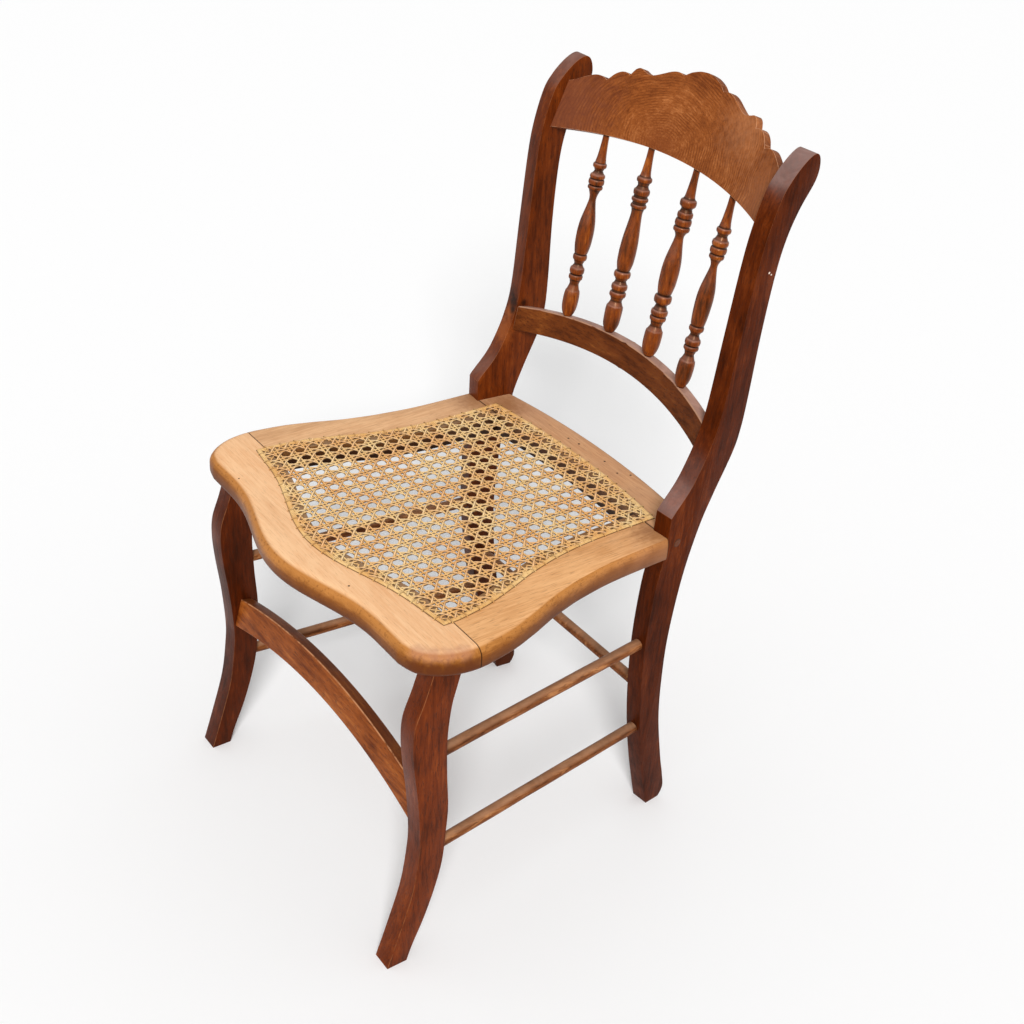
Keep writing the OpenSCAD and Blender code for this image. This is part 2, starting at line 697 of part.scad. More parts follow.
// The rounding of the side rails flattens towards the back
side_ease_end = 0.3;
function side_ease(y) = max(side_ease_end, 1 - (1 - side_ease_end) * y / (side_len * 0.6));
module side_rail(side) {
  inner_x = open_side(side_len) - 10;
  inner = [[inner_x, side_len], [inner_x, side_len / 4], [open_side(0), 0]];
  ease = [for (p = side_from_joint) side_ease(p[1])];
  color(honey) on_side(side) difference() {
    rounded_rail(side_from_joint, inner, ease, edge_top_r, edge_low_r);
    opening();
    drilled_holes();
    dowels(fit);
    post_frame() translate([-post_t, 0, -100]) cube([200, 100, 200]);
  }
}

back_edge_r = 5;
function back_edge(x) = side_len + back_d - 11 * pow(x / 153, 2);
module back_rail() {
  reach = hip_x - 14;
  outer = [for (x = span(reach, -reach, 20)) [x, back_edge(x)]];
  inner = [[-reach, side_len], [reach, side_len]];
  color(honey) difference() {
    rounded_rail(outer, inner, [for (p = outer) 1], back_edge_r, back_edge_r);
    opening();
    drilled_holes();
    dowels(fit);
    both_sides() beyond_post();
    both_sides() post_screw(screw_d + 2 * fit, screw_head_d + 2 * fit, socket_relief);
  }
}

// Legs and posts

module front_leg(side) {
  color(stained) on_side(side) {
    difference() {
      translate([leg_x, 0, 0]) rotate([90, 0, 90]) linear_extrude(leg_t)
        polygon(concat(leg_front_path, reversed(leg_back_path)));
      translate([0, -200, -50]) cube([400, 400, 50]);
      side_sockets(side);
      front_tenons(fit);
    }
    leg_tenon();
  }
}

module post_screw(shank, head, relief) {
  post_frame() translate([-plug_t, screw_y, screw_z]) rotate([0, -90, 0]) {
    cylinder(d = head, h = screw_head_t);
    cylinder(d = shank, h = screw_len + relief);
  }
}
module screw_plug(grow) {
  post_frame() translate([-plug_t, screw_y, screw_z]) rotate([0, 90, 0])
    cylinder(d = plug_d + 2 * grow, h = plug_t + grow * 10);
}

module rear_post(side) {
  color(stained) on_side(side) difference() {
    post_frame() translate([-post_t, 0, 0]) rotate([90, 0, 90]) linear_extrude(post_t)
      polygon(concat(reversed(post_top_path), reversed(post_front_path)));
    translate([0, 0, -50]) cube([400, 600, 50]);
    side_sockets(side);
    back_sockets();
    crest_tenon_shape(fit);
    lower_tenon_shape(fit);
    post_screw(screw_d + 2 * fit, screw_head_d + 2 * fit, 0);
    screw_plug(fit);
  }
}

// Back rails and spindles

module crest_rail() {
  color(brown) difference() {
    union() {
      bowed_board(crest, concat(crest_top, crest_bottom));
      both_sides() crest_tenon_shape();
    }
    spindle_sockets(false);
  }
}

module lower_back_rail() {
  color(brown) difference() {
    union() {
      bowed_board(lower, concat(lower_top, lower_bottom));
      both_sides() lower_tenon_shape();
    }
    spindle_sockets(true);
  }
}

module spindle(i) {
  a = spindle_foot(i);
  b = spindle_head(i);
  len_i = norm(b - a);
  stretch = len_i / spindle_drawn;
  color(stained) along(a, b) rotate_extrude() polygon(concat(
    [[0, -spindle_low_in], [spindle_low_tenon_r, -spindle_low_in]],
    [[spindle_low_tenon_r, -spindle_shoulder], [spindle_foot_r, -spindle_shoulder]],
    [for (p = spindle_profile(i)) [p[1], p[0] * stretch]],
    [[spindle_head_r, len_i - 2], [spindle_head_r, len_i + spindle_shoulder]],
    [[spindle_top_tenon_r, len_i + spindle_shoulder], [spindle_top_tenon_r, len_i + spindle_top_in]],
    [[0, len_i + spindle_top_in]]
  ));
}

// Stretchers

module front_stretcher() {
  top = [
    for (x = span(leg_x, -leg_x, 36)) [x, front_stretcher_h + arch(x, front_stretcher_arch - 2, leg_x)]
  ];
  low = [for (x = span(-leg_x, leg_x, 36)) [x, arch(x, front_stretcher_arch, leg_x)]];
  color(brown) union() {
    front_stretcher_frame() translate([0, front_stretcher_t, 0]) rotate([90, 0, 0])
      linear_extrude(front_stretcher_t) polygon(concat(top, low));
    difference() {
      front_tenons();
      cube([2 * leg_x - 4, 1000, 2000], center = true);
    }
  }
}

module back_stretcher() {
  p = back_stretcher_end();
  color(brown) rod([-p[0], p[1], p[2]], p, stretcher_d);
}

module side_stretcher(side, k) {
  ends = stretcher_ends(side, k);
  color(brown) on_side(side) rod(ends[0], ends[1], stretcher_d);
}

// Cane

// Free space between the binding strip and the woven panel, where the ties come up
tie_t = 0.9;
tie_w = 2.2;
cane_edge = inset(cane_path, binder_w + tie_t + fit);
// Rows and columns of gaps, counted from the front; the rows bow towards the back at the sides
gap_first_y = -51;
row_bow = 8.3;
function gap_fits(x, y) = let (r = cane_gap / 2 - 1)
  abs(x) < open_side(y) - r && y < cane_back(x) - cane_lip - r && y > cane_front(x) + cane_lip + r - 3;
module cane_panel() {
  columns = ceil(half_w / cane_pitch_x);
  rows = ceil((side_len - gap_first_y) / cane_pitch_y) + 1;
  color(straw) translate([0, 0, seat_h]) linear_extrude(cane_t) difference() {
    polygon(cane_edge);
    for (i = [-columns : columns - 1], j = [0 : rows]) {
      x = (i + 0.5) * cane_pitch_x;
      y = gap_first_y + j * cane_pitch_y + row_bow * pow(x / 180, 2);
      if (gap_fits(x, y)) translate([x, y]) circle(d = cane_gap, $fn = 6);
    }
  }
}

module cane_binder() {
  color(straw) translate([0, 0, seat_h]) linear_extrude(binder_t) difference() {
    polygon(cane_path);
    polygon(inset(cane_path, binder_w));
  }
}

// Small loops of cane that hold the strip down at each drilled hole
module binder_ties() {
  reach = binder_w + 2 * tie_t;
  color(straw) for (h = holes)
    translate([h[0][0], h[0][1], seat_h]) rotate(atan2(h[1][1], h[1][0]))
      translate([-reach / 2, -tie_w / 2, 0]) difference() {
        cube([reach, tie_w, binder_t + tie_t]);
        translate([tie_t - 0.01, -1, -1]) cube([binder_w + 0.02, tie_w + 2, binder_t + 1.01]);
      }
}

module seat_dowels() { color("#c8a070") dowels(); }
module post_screws() { color("#777777") both_sides() post_screw(screw_d, screw_head_d, 0); }
module screw_plugs() { color(stained) both_sides() screw_plug(0); }

module placed() { translate([0, -origin_back, 0]) children(); }

placed() front_rail();
placed() side_rail("left");  // side_rail_left
placed() side_rail("right");  // side_rail_right
placed() back_rail();
placed() front_leg("left");  // front_leg_left
placed() front_leg("right");  // front_leg_right
placed() rear_post("left");  // rear_post_left
placed() rear_post("right");  // rear_post_right
placed() crest_rail();
placed() lower_back_rail();
placed() spindle(0);  // spindle_1
placed() spindle(1);  // spindle_2
placed() spindle(2);  // spindle_3
placed() spindle(3);  // spindle_4
placed() front_stretcher();
placed() back_stretcher();
placed() side_stretcher("left", 0);  // side_stretcher_upper_left
placed() side_stretcher("left", 1);  // side_stretcher_lower_left
placed() side_stretcher("right", 0);  // side_stretcher_upper_right
placed() side_stretcher("right", 1);  // side_stretcher_lower_right
placed() cane_panel();
placed() cane_binder();
placed() binder_ties();
placed() seat_dowels();
placed() post_screws();
placed() screw_plugs();
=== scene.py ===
# %% [markdown]
# A cane seat side chair
#
# This lesson dresses a wooden side chair: sawn cabriole legs, curved rear posts, a scalloped
# crest rail, four turned spindles and a hand woven cane seat. The construction model gives the
# frame that everything is fitted to. Each step says what the real piece is, how it could be made
# in Blender, and why this way was taken.

import math
import random

import bmesh
import bpy
from mathutils import Matrix, Vector, noise


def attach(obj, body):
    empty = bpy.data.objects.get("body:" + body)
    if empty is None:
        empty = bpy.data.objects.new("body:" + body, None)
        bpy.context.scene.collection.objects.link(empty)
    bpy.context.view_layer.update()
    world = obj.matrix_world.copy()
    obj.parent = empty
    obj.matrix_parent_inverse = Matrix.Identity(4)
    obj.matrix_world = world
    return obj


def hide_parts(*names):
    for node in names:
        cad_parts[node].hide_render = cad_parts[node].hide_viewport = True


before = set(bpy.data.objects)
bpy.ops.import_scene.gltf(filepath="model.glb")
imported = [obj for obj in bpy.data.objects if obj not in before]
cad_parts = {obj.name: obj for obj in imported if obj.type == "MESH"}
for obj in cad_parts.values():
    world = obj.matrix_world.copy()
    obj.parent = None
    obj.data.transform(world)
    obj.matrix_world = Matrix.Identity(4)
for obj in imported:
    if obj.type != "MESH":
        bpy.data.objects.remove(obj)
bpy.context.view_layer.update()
random.seed(7)
print("frame nodes:", len(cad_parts))

# %% [markdown]
# Sizes
#
# The chair was drawn in millimetres with y = 0 on the joint between the front rail and the side
# rails. Blender works in metres with the origin under the middle of the chair, so one function
# turns a drawn point into a placed one. The sizes below are the construction model's own.

# %% Sizes and the drawing's origin
MM = 0.001
ORIGIN_BACK = 185.72
SEAT_H, SEAT_T = 445, 28
SEAT_LOW = SEAT_H - SEAT_T
HALF_W, HALF_BACK, SIDE_LEN = 261, 204, 299
FRONT_D, FRONT_BULGE, BACK_D = 70, 32, 64
POST_T, HIP_X, POST_TOE, POST_LEAN = 23, 201.6, math.radians(6.1), math.radians(2.15)
TO_SCENE = Matrix.Scale(MM, 4) @ Matrix.Translation((0, -ORIGIN_BACK, 0))


def at(x, y, z):
    return TO_SCENE @ Vector((x, y, z))


print("seat top at", at(0, 0, SEAT_H).z, "m")

# %% [markdown]
# Camera
#
# The photograph was taken from above the sitter's left, a little rolled. The camera's place,
# turn and focal length were solved from the chair's corners, so the render lines up with it.
# The lens shift puts the optical centre where it lies in the cropped picture.

# %% Camera
AZIMUTH, ELEVATION, ROLL = (math.radians(a) for a in (54.41454, 31.95714, 2.88007))
CAMERA_PLACE = (1262.131, -753.443, 1407.369)
FOCAL_PIXELS, PICTURE = 1544.613, 1024
OPTICAL_CENTRE = (460.398, 497.168)

right = Vector((math.cos(AZIMUTH), math.sin(AZIMUTH), 0))
up = Vector((
    -math.sin(AZIMUTH) * math.sin(ELEVATION), math.cos(AZIMUTH) * math.sin(ELEVATION), math.cos(ELEVATION)
))
back = right.cross(up)
rolled_right = math.cos(ROLL) * right + math.sin(ROLL) * up
rolled_up = math.cos(ROLL) * up - math.sin(ROLL) * right

lens = bpy.data.cameras.new("camera")
lens.sensor_width = 36
lens.lens = FOCAL_PIXELS / PICTURE * lens.sensor_width
lens.shift_x = (PICTURE / 2 - OPTICAL_CENTRE[0]) / PICTURE
lens.shift_y = (OPTICAL_CENTRE[1] - PICTURE / 2) / PICTURE
camera = bpy.data.objects.new("camera", lens)
turn = Matrix((rolled_right, rolled_up, back)).transposed().to_4x4()
camera.matrix_world = Matrix.Translation(at(*CAMERA_PLACE)) @ turn
bpy.context.collection.objects.link(camera)
bpy.context.scene.camera = camera
print("focal length", round(lens.lens, 2), "mm")

# %% [markdown]
# Light
#
# Furniture is photographed in a large soft light, so that the varnish shows pale highlights
# without hard spots. A pale world gives the even part, and a sun with a wide disc gives the
# direction from above the sitter's left, with soft shadows under the seat and behind the legs.

# %% Light and world
WORLD_STRENGTH, SUN_STRENGTH, SUN_DISC = 0.56, 2.7, math.radians(16)
SUN_AZIMUTH, SUN_HEIGHT = math.radians(54), math.radians(34)

scene = bpy.context.scene
scene.view_settings.view_transform = "Standard"
world = bpy.data.worlds.new("studio")
scene.world = world
world.use_nodes = True
background = world.node_tree.nodes["Background"]
background.inputs["Color"].default_value = (1, 1, 1, 1)
background.inputs["Strength"].default_value = WORLD_STRENGTH

sun = bpy.data.lights.new("soft sun", "SUN")
sun.energy, sun.angle = SUN_STRENGTH, SUN_DISC
sun_holder = bpy.data.objects.new("soft sun", sun)
level = math.cos(SUN_HEIGHT)
towards_sun = Vector((level * math.sin(SUN_AZIMUTH), -level * math.cos(SUN_AZIMUTH), math.sin(SUN_HEIGHT)))
sun_holder.rotation_euler = (-towards_sun).to_track_quat("-Z", "Y").to_euler()
bpy.context.collection.objects.link(sun_holder)
print("sun height", round(math.degrees(SUN_HEIGHT)), "degrees")

# %% [markdown]
# Curves
#
# Sawn chair parts are drawn with smooth curves through a few points. The spline used here passes
# through every point it is given, so the numbers measured on the chair can be used as they are.

# %% Curves through measured points


def spline(points, steps=6):
    out = []
    last = len(points) - 1
    for i in range(last):
        a, b, c, d = (Vector(points[j]) for j in (max(i - 1, 0), i, i + 1, min(i + 2, last)))
        for k in range(steps):
            t = k / steps
            out.append(0.5 * (
                2 * b + (c - a) * t
                + (2 * a - 5 * b + 4 * c - d) * t * t + (3 * b - a - 3 * c + d) * t ** 3
            ))
    return out + [Vector(points[last])]


def lookup(value, table):
    """The y of the table's points at that x, on straight lines between them."""
    table = sorted(table, key=lambda p: p[0])
    if value <= table[0][0]:
        return table[0][1]
    for (x0, y0), (x1, y1) in zip(table, table[1:]):
        if value <= x1:
            return y0 + (y1 - y0) * (value - x0) / max(x1 - x0, 1e-9)
    return table[-1][1]


def span(a, b, n):
    return [a + (b - a) * i / n for i in range(n + 1)]


print("spline test:", len(spline([(0, 0), (1, 1), (2, 0)])), "points")

# %% [markdown]
# From a bmesh to a piece
#
# Every piece is finished in the same way: its faces are shaded smooth with creases kept sharp,
# it rides on the chair's one body, it is given its material, and it takes the place of its
# construction node. Sharp edges on a real chair are always a little rounded, and the rounding
# is where stain wears thin, so the bevel also paints an attribute that the wood reads later.

# %% Finishing a piece
SMOOTH_BELOW, TURNED_BELOW, CANE_BELOW = 38, 50, 60


def finish_piece(name, bm, material, node, smooth_below=SMOOTH_BELOW):
    """Faces that meet at less than smooth_below degrees are shaded as one surface."""
    mesh = bpy.data.meshes.new(name)
    bm.normal_update()
    bm.to_mesh(mesh)
    bm.free()
    mesh.shade_smooth()
    mesh.set_sharp_from_angle(angle=math.radians(smooth_below))
    mesh.materials.append(material)
    piece = bpy.data.objects.new(name, mesh)
    bpy.context.collection.objects.link(piece)
    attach(piece, "root")
    if node:
        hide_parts(node)
    print(f"{name}: {sum(len(p.vertices) - 2 for p in mesh.polygons)} triangles")


# %% Sawing and rounding
EDGE_R, EDGE_SEGMENTS = 0.0016, 4


def vertex_layer(bm, name):
    layers = bm.verts.layers.float
    return layers.get(name) or layers.new(name)


def seal(bm):
    """Closes the open ends and turns every face outwards."""
    bmesh.ops.holes_fill(bm, edges=[e for e in bm.edges if e.is_boundary], sides=0)
    bmesh.ops.recalc_face_normals(bm, faces=bm.faces)


def prism(outline, depth):
    """A closed outline in the XY plane, carried up along Z."""
    bm = bmesh.new()
    face = bm.faces.new([bm.verts.new((p[0], p[1], 0)) for p in outline])
    grown = bmesh.ops.extrude_face_region(bm, geom=[face])["geom"]
    bmesh.ops.translate(bm, vec=(0, 0, depth), verts=[g for g in grown if isinstance(g, bmesh.types.BMVert)])
    seal(bm)
    return bm


def saw(bm, place, direction, cut_off=False):
    """Cuts the faces along a plane. With cut_off, what lies beyond it goes and the cut is closed."""
    bmesh.ops.bisect_plane(
        bm, geom=bm.verts[:] + bm.edges[:] + bm.faces[:], plane_co=place, plane_no=direction, clear_outer=cut_off
    )
    if cut_off:
        seal(bm)


def mirror_left(bm):
    bmesh.ops.scale(bm, vec=(-1, 1, 1), verts=bm.verts)
    bmesh.ops.recalc_face_normals(bm, faces=bm.faces)


def soften(bm, sharper_than=30, radius=EDGE_R):
    """Rounds the edges that are sharper than the angle, and marks the roundings as worn."""
    worn = vertex_layer(bm, "worn")
    limit = math.radians(sharper_than)
    made = bmesh.ops.bevel(
        bm, geom=[e for e in bm.edges if e.is_manifold and e.calc_face_angle(0) > limit], offset=radius,
        segments=EDGE_SEGMENTS, profile=0.5, affect="EDGES", material=-1, clamp_overlap=True,
    )
    rounding = set(made["faces"])
    for v in made["verts"]:
        if v.is_valid and all(f in rounding for f in v.link_faces):
            v[worn] = 1


print("edges are rounded by", EDGE_R / MM, "mm")

# %% [markdown]
# A swept surface
#
# The seat rails, the binding strip and every strand of cane are one cross-section carried along a
# path. A grid has just the faces that such a sweep needs, so each vertex of a grid is moved to its
# station on the path and its place in the cross-section, and the long edges are then merged.

# %% Sweeping a section
TOUCHING = 1e-7


def swept(bm, stations, shade, loop_path=False):
    """stations is a list of closed sections of points in millimetres, and shade a number for each point."""
    layer = vertex_layer(bm, "shade")
    across, rows = len(stations[0]), len(stations) + loop_path
    grid = bmesh.ops.create_grid(bm, x_segments=across, y_segments=rows - 1, size=0.5)
    for v in grid["verts"]:
        i = round((v.co.x + 0.5) * across) % across
        j = round((v.co.y + 0.5) * (rows - 1)) % len(stations)
        v.co = at(*stations[j][i])
        v[layer] = shade[i]
    bmesh.ops.remove_doubles(bm, verts=grid["verts"], dist=TOUCHING)


# %% [markdown]
# Wood, cane and metal in nodes
#
# Long chains of shader nodes are hard to read. A small class wraps a socket so that ordinary
# arithmetic adds Math nodes, and one method adds any other node from its type, its settings and
# the values or links of its sockets.

# %% Shader helpers


def srgb(red, green, blue):
    def linear(c):
        c /= 255
        return c / 12.92 if c <= 0.04045 else ((c + 0.055) / 1.055) ** 2.4

    return (linear(red), linear(green), linear(blue), 1)


class Wire:
    """A socket that can be added, multiplied and so on."""

    def __init__(self, paint, socket):
        self.paint, self.socket = paint, socket

    def __add__(self, other):
        return self.paint.math("ADD", self, other)

    def __sub__(self, other):
        return self.paint.math("SUBTRACT", self, other)

    def __mul__(self, other):
        return self.paint.math("MULTIPLY", self, other)

    def __rsub__(self, other):
        return self.paint.math("SUBTRACT", other, self)

    __radd__, __rmul__ = __add__, __mul__

    def between(self, low, high):
        """0 below low, 1 above high, and smooth from one to the other."""
        settings = {"interpolation_type": "SMOOTHSTEP"}
        return self.paint.add("MapRange", settings, {0: self, 1: low, 2: high, 3: 0.0, 4: 1.0})

    def scaled(self, low, high, at_low, at_high):
        """at_low where the socket is low, at_high where it is high, and even steps between."""
        return self.paint.add("MapRange", None, {0: self, 1: low, 2: high, 3: at_low, 4: at_high})


class Paint:
    """A material and the nodes it is made of."""

    def __init__(self, name):
        self.material = bpy.data.materials.new(name)
        self.material.use_nodes = True
        self.tree = self.material.node_tree
        self.tree.nodes.clear()

    def add(self, kind, settings=None, sockets=None, out=0):
        node = self.tree.nodes.new("ShaderNode" + kind)
        for key, value in (settings or {}).items():
            setattr(node, key, value)
        for key, value in (sockets or {}).items():
            if isinstance(value, Wire):
                self.tree.links.new(value.socket, node.inputs[key])
            else:
                node.inputs[key].default_value = value
        return Wire(self, node.outputs[out])

    def math(self, operation, *values):
        return self.add("Math", {"operation": operation}, dict(enumerate(values)))

    def mix(self, factor, a, b):
        return self.add("Mix", {"data_type": "RGBA"}, {0: factor, 6: a, 7: b}, out=2)

    def coords(self):
        return self.add("TexCoord", out="Object")

    def place(self, stretch=(1, 1, 1), shift=(0, 0, 0)):
        return self.add("Mapping", None, {"Vector": self.coords(), "Location": shift, "Scale": stretch})

    def along(self, grain, across, length, shift=(0, 0, 0)):
        """A place in which a pattern is drawn out along one axis."""
        stretch = [across] * 3
        stretch["XYZ".index(grain)] = length
        return self.place(stretch, shift)

    def part(self, vector, axis):
        return self.add("SeparateXYZ", None, {0: vector}, out="XYZ".index(axis))

    def attribute(self, name):
        return self.add("Attribute", {"attribute_name": name}, out="Fac")

    def facing_up(self, low, high):
        return self.part(self.add("NewGeometry", out="Normal"), "Z").between(low, high)

    def noise(self, vector, scale, detail=4.0, roughness=0.55, distortion=0.0):
        sockets = {"Vector": vector, "Scale": scale, "Detail": detail, "Roughness": roughness}
        return self.add("TexNoise", None, {**sockets, "Distortion": distortion})

    def finish(self, color, roughness, bump=None, strength=0.2, depth=0.0005, **plain):
        sockets = {"Base Color": color, "Roughness": roughness, **plain}
        if bump is not None:
            sockets["Normal"] = self.add("Bump", None, {"Height": bump, "Strength": strength, "Distance": depth})
        shader = self.add("BsdfPrincipled", None, sockets)
        output = self.tree.nodes.new("ShaderNodeOutputMaterial")
        self.tree.links.new(shader.socket, output.inputs["Surface"])
        return self.material


print("middle grey is", round(srgb(128, 128, 128)[0], 3), "in the shader")

# %% [markdown]
# Stained wood
#
# The chair is one species under several stains. Its wood shows long fibres and fine dark pores.
# Object coordinates carry the pattern, stretched along the grain, so it runs through each piece as
# it does in a real board. Where the bevel marked the edges as worn, the stain is thinner. Where a
# piece carries the shade attribute it is darkened: the spindles' grooves and ends, and the glue line
# round a plug. Below the seat the wood can be darkened further as painted shade, and faces that look
# up take a painted sheen, the reflection of the bright sky, or on the front stretcher painted shade.

# %% Marks in the wood
# SHADE_AND_DIRT is the dark brown of painted shade below the seat, on the seat's opening and under the cane, and of
# dirt, grooves, glue lines and joints
PORE_BROWN, SHADE_AND_DIRT, VARNISH = srgb(52, 24, 12), srgb(30, 14, 8), (1.0, 0.62, 0.36, 1.0)


def spot(paint, color, place, radius, patch_color, core=0.7, strength=1.0):
    """A ragged patch of colour round a place on the chair, in the drawing's millimetres, for a stain or a painted
    highlight. core is the full part.
    """
    coords, reach = paint.coords(), radius * MM
    gap = paint.add("VectorMath", {"operation": "DISTANCE"}, {0: coords, 1: tuple(at(*place))}, out=1)
    ragged = gap + (paint.noise(coords, 150.0, 4.0) - 0.5) * (reach * 0.9)
    return paint.mix((1 - ragged.between(reach * core, reach * 1.1)) * strength, color, patch_color)


# %% Wood
GRAIN_ACROSS, GRAIN_LENGTH = 62.0, 8.0
SHADE_FROM, SHADE_TO = 0.33, 0.46


def wood(name, dark, middle, light, grain="Z", rough=0.46, edge=None, painted_top_light=None, painted_top_from=0.35,
         contrast=1.0, shift=(0, 0, 0), board=None, spots=(), worn_from=-0.1, in_shade=0.0, gloss=1.2):
    paint = Paint(name)
    if board:
        grain_place, rings = board(paint)
    else:
        grain_place, rings = paint.along(grain, GRAIN_ACROSS, GRAIN_LENGTH, shift), None
    plain = paint.place(shift=shift)
    fibre = paint.noise(grain_place, 3.2, 6.0, 0.66, 0.25)
    bands = paint.noise(grain_place, 0.75, 3.0, 0.5, 0.6)
    patches = paint.noise(plain, 13.0, 3.0, 0.6, 0.3)
    pores = paint.noise(grain_place, 13.0, 2.0, 0.5).between(0.56, 0.66)
    tone = (fibre - 0.5) * (1.4 * contrast) + (bands - 0.5) * (0.7 * contrast) + (patches - 0.5) * 0.9 + 0.5
    color = paint.mix(tone.between(0.12, 0.58), dark, middle)
    color = paint.mix(tone.between(0.52, 0.92), color, light)
    color = paint.mix(pores * 0.55, color, PORE_BROWN)
    if rings:
        color = paint.mix(rings * 0.75, color, dark)
    # Faces that look up get painted_top_light: a pale colour paints the sky's reflection as a sheen, a dark one paints
    # shade on the top
    if painted_top_light:
        sheen_breakup = paint.noise(plain, 30.0, 4.0, 0.65, 0.6).between(0.35, 0.70)
        color = paint.mix(paint.facing_up(painted_top_from, 0.95) * (0.45 + sheen_breakup * 0.3), color, painted_top_light)
    for patch_color in spots:
        color = spot(paint, color, *patch_color)
    if edge:
        broken = paint.noise(plain, 70.0, 4.0, 0.7).between(0.30, 0.56)
        worn = paint.attribute("worn") * paint.facing_up(worn_from, worn_from + 0.45)
        color = paint.mix(worn * broken * 0.9, color, edge)
    # Painted shade: below the seat the wood is darkened by the in_shade share
    if in_shade:
        below_seat = 1 - paint.part(plain, "Z").between(SHADE_FROM, SHADE_TO)
        color = paint.mix(below_seat * in_shade, color, SHADE_AND_DIRT)
    # The shade attribute darkens grooves, ends and glue lines
    color = paint.mix(paint.attribute("shade") * 0.85, color, SHADE_AND_DIRT)
    shine = (patches * 0.7 + fibre * 0.3).scaled(0.35, 0.65, rough + 0.08, rough - 0.08)
    bump = fibre * 0.4 - pores * 0.7 + paint.noise(plain, 40.0, 2.0) * 0.6
    return paint.finish(color, shine, bump, 0.25, 0.0006, IOR=gloss, **{"Specular Tint": VARNISH})


# %% Woods of the posts and legs
NICK, KNOT, AMBER_WORN = srgb(232, 214, 196), srgb(30, 13, 8), srgb(158, 84, 36)
# The posts are painted darker below the seat as shade (in_shade), and their upward faces take a pale painted sheen
post_woods = [
    wood(
        "right post wood", srgb(52, 17, 4), srgb(80, 30, 6), srgb(106, 46, 14), "Z", 0.38,
        srgb(150, 92, 58), srgb(178, 148, 140), 0.26, in_shade=0.15, gloss=1.12,
        spots=[((203, 393, 754), 1.5, NICK), ((203, 397, 751), 1.2, NICK)],
    ),
    wood(
        "left post wood", srgb(64, 23, 6), srgb(97, 40, 10), srgb(124, 58, 18), "Z", 0.38,
        srgb(166, 108, 70), srgb(142, 106, 94), 0.30, in_shade=0.5,
        spots=[
            ((-190, 336, 536), 22, AMBER_WORN, 0.3, 0.55), ((-190, 343, 560), 15, AMBER_WORN, 0.3, 0.55),
            ((-193, 349, 582), 15, KNOT, 0.2, 0.85), ((-187, 349, 572), 12, KNOT, 0.2, 0.9),
            ((-184, 350, 562), 8, KNOT, 0.2, 0.9), ((-178, 360, 572), 7, KNOT, 0.2, 0.8),
        ],
    ),
]
# The legs' upward faces take a painted sheen. The left leg's wood is a darker copy, painted into the shade under the
# seat
leg_woods = [
    wood(name, dark, middle, light, "Z", 0.38, srgb(150, 96, 60), srgb(120, 76, 58), 0.40, shift=(0.3, 0.1, 0))
    for name, dark, middle, light in (
        ("right leg wood", srgb(66, 23, 5), srgb(99, 39, 8), srgb(124, 55, 15)),
        ("left leg wood painted darker as shade", srgb(46, 15, 4), srgb(72, 25, 5), srgb(94, 38, 10)),
    )
]
print("stained woods:", [material.name for material in post_woods + leg_woods])

# %% [markdown]
# Seat rails
#
# The seat is a frame of four sawn boards: a swelling front rail with rounded corners, two side
# rails that wave inwards, and a back rail between the posts. Their outer edges are bullnosed.
# Each is swept: a station pairs a point of the outer edge with one on the opening under the cane,
# and the section between them carries the rounding.

# %% The seat's outlines
EDGE_TOP_R, EDGE_LOW_R = 12, 7
BULGE_HALF, BULGE_POWER = 172, 1.15
CORNER_X = HALF_W - 51
CANE_CORNER_X, CANE_LIP = 208, 19
CANE_FRONT_IN, CANE_SIDE_IN, CANE_BACK_IN = 46, 53, 27
SIDE_CURVE = [
    (0.023, 0), (0.16, 0.13), (0.28, 0.33), (0.34, 0.45), (0.4, 0.57),
    (0.47, 0.68), (0.55, 0.79), (0.67, 0.9), (0.8, 0.96), (1, 1),
]
side_points = [(HALF_W - share * (HALF_W - HALF_BACK), along * SIDE_LEN) for along, share in SIDE_CURVE]
corner_points = [
    (CORNER_X, -FRONT_D), (HALF_W - 30, -FRONT_D + 6), (HALF_W - 15, -FRONT_D + 20),
    (HALF_W - 5, -FRONT_D + 39), (HALF_W - 0.5, -FRONT_D + 60), side_points[0],
]
side_path = spline(side_points, 12)
corner_path = spline(corner_points, 12)
side_table = [(p.y, p.x) for p in side_path]


def front_y(x):
    if abs(x) >= BULGE_HALF:
        return -FRONT_D
    return -FRONT_D - FRONT_BULGE * ((1 + math.cos(math.pi * x / BULGE_HALF)) / 2) ** BULGE_POWER


def cane_front(x):
    return front_y(x) + CANE_FRONT_IN + 12 * (abs(x) / CANE_CORNER_X) ** 3


def cane_side(y):
    return lookup(y, side_table) - CANE_SIDE_IN + 9 * max(y, 0) / SIDE_LEN


def cane_back(x):
    return SIDE_LEN + CANE_BACK_IN - 12 * (x / 160) ** 2


def in_seat(x, y, margin=2.2):
    """Whether a place is inside the outline of the caning by the margin."""
    if abs(x) > cane_side(y) - margin:
        return False
    return cane_front(x) + margin < y < cane_back(x) - margin


print("cane is", round(2 * cane_side(0)), "mm wide at the joint line")

# %% The section of a rail
# Distances from the opening at which the top has a point, close where the painted shade and dirt under the cane end
TOP_STEPS = (0, 2, 6, 10, 13, 15, 17, 19, 22, 25, 28, 31, 34, 37, 40, 43, 46)


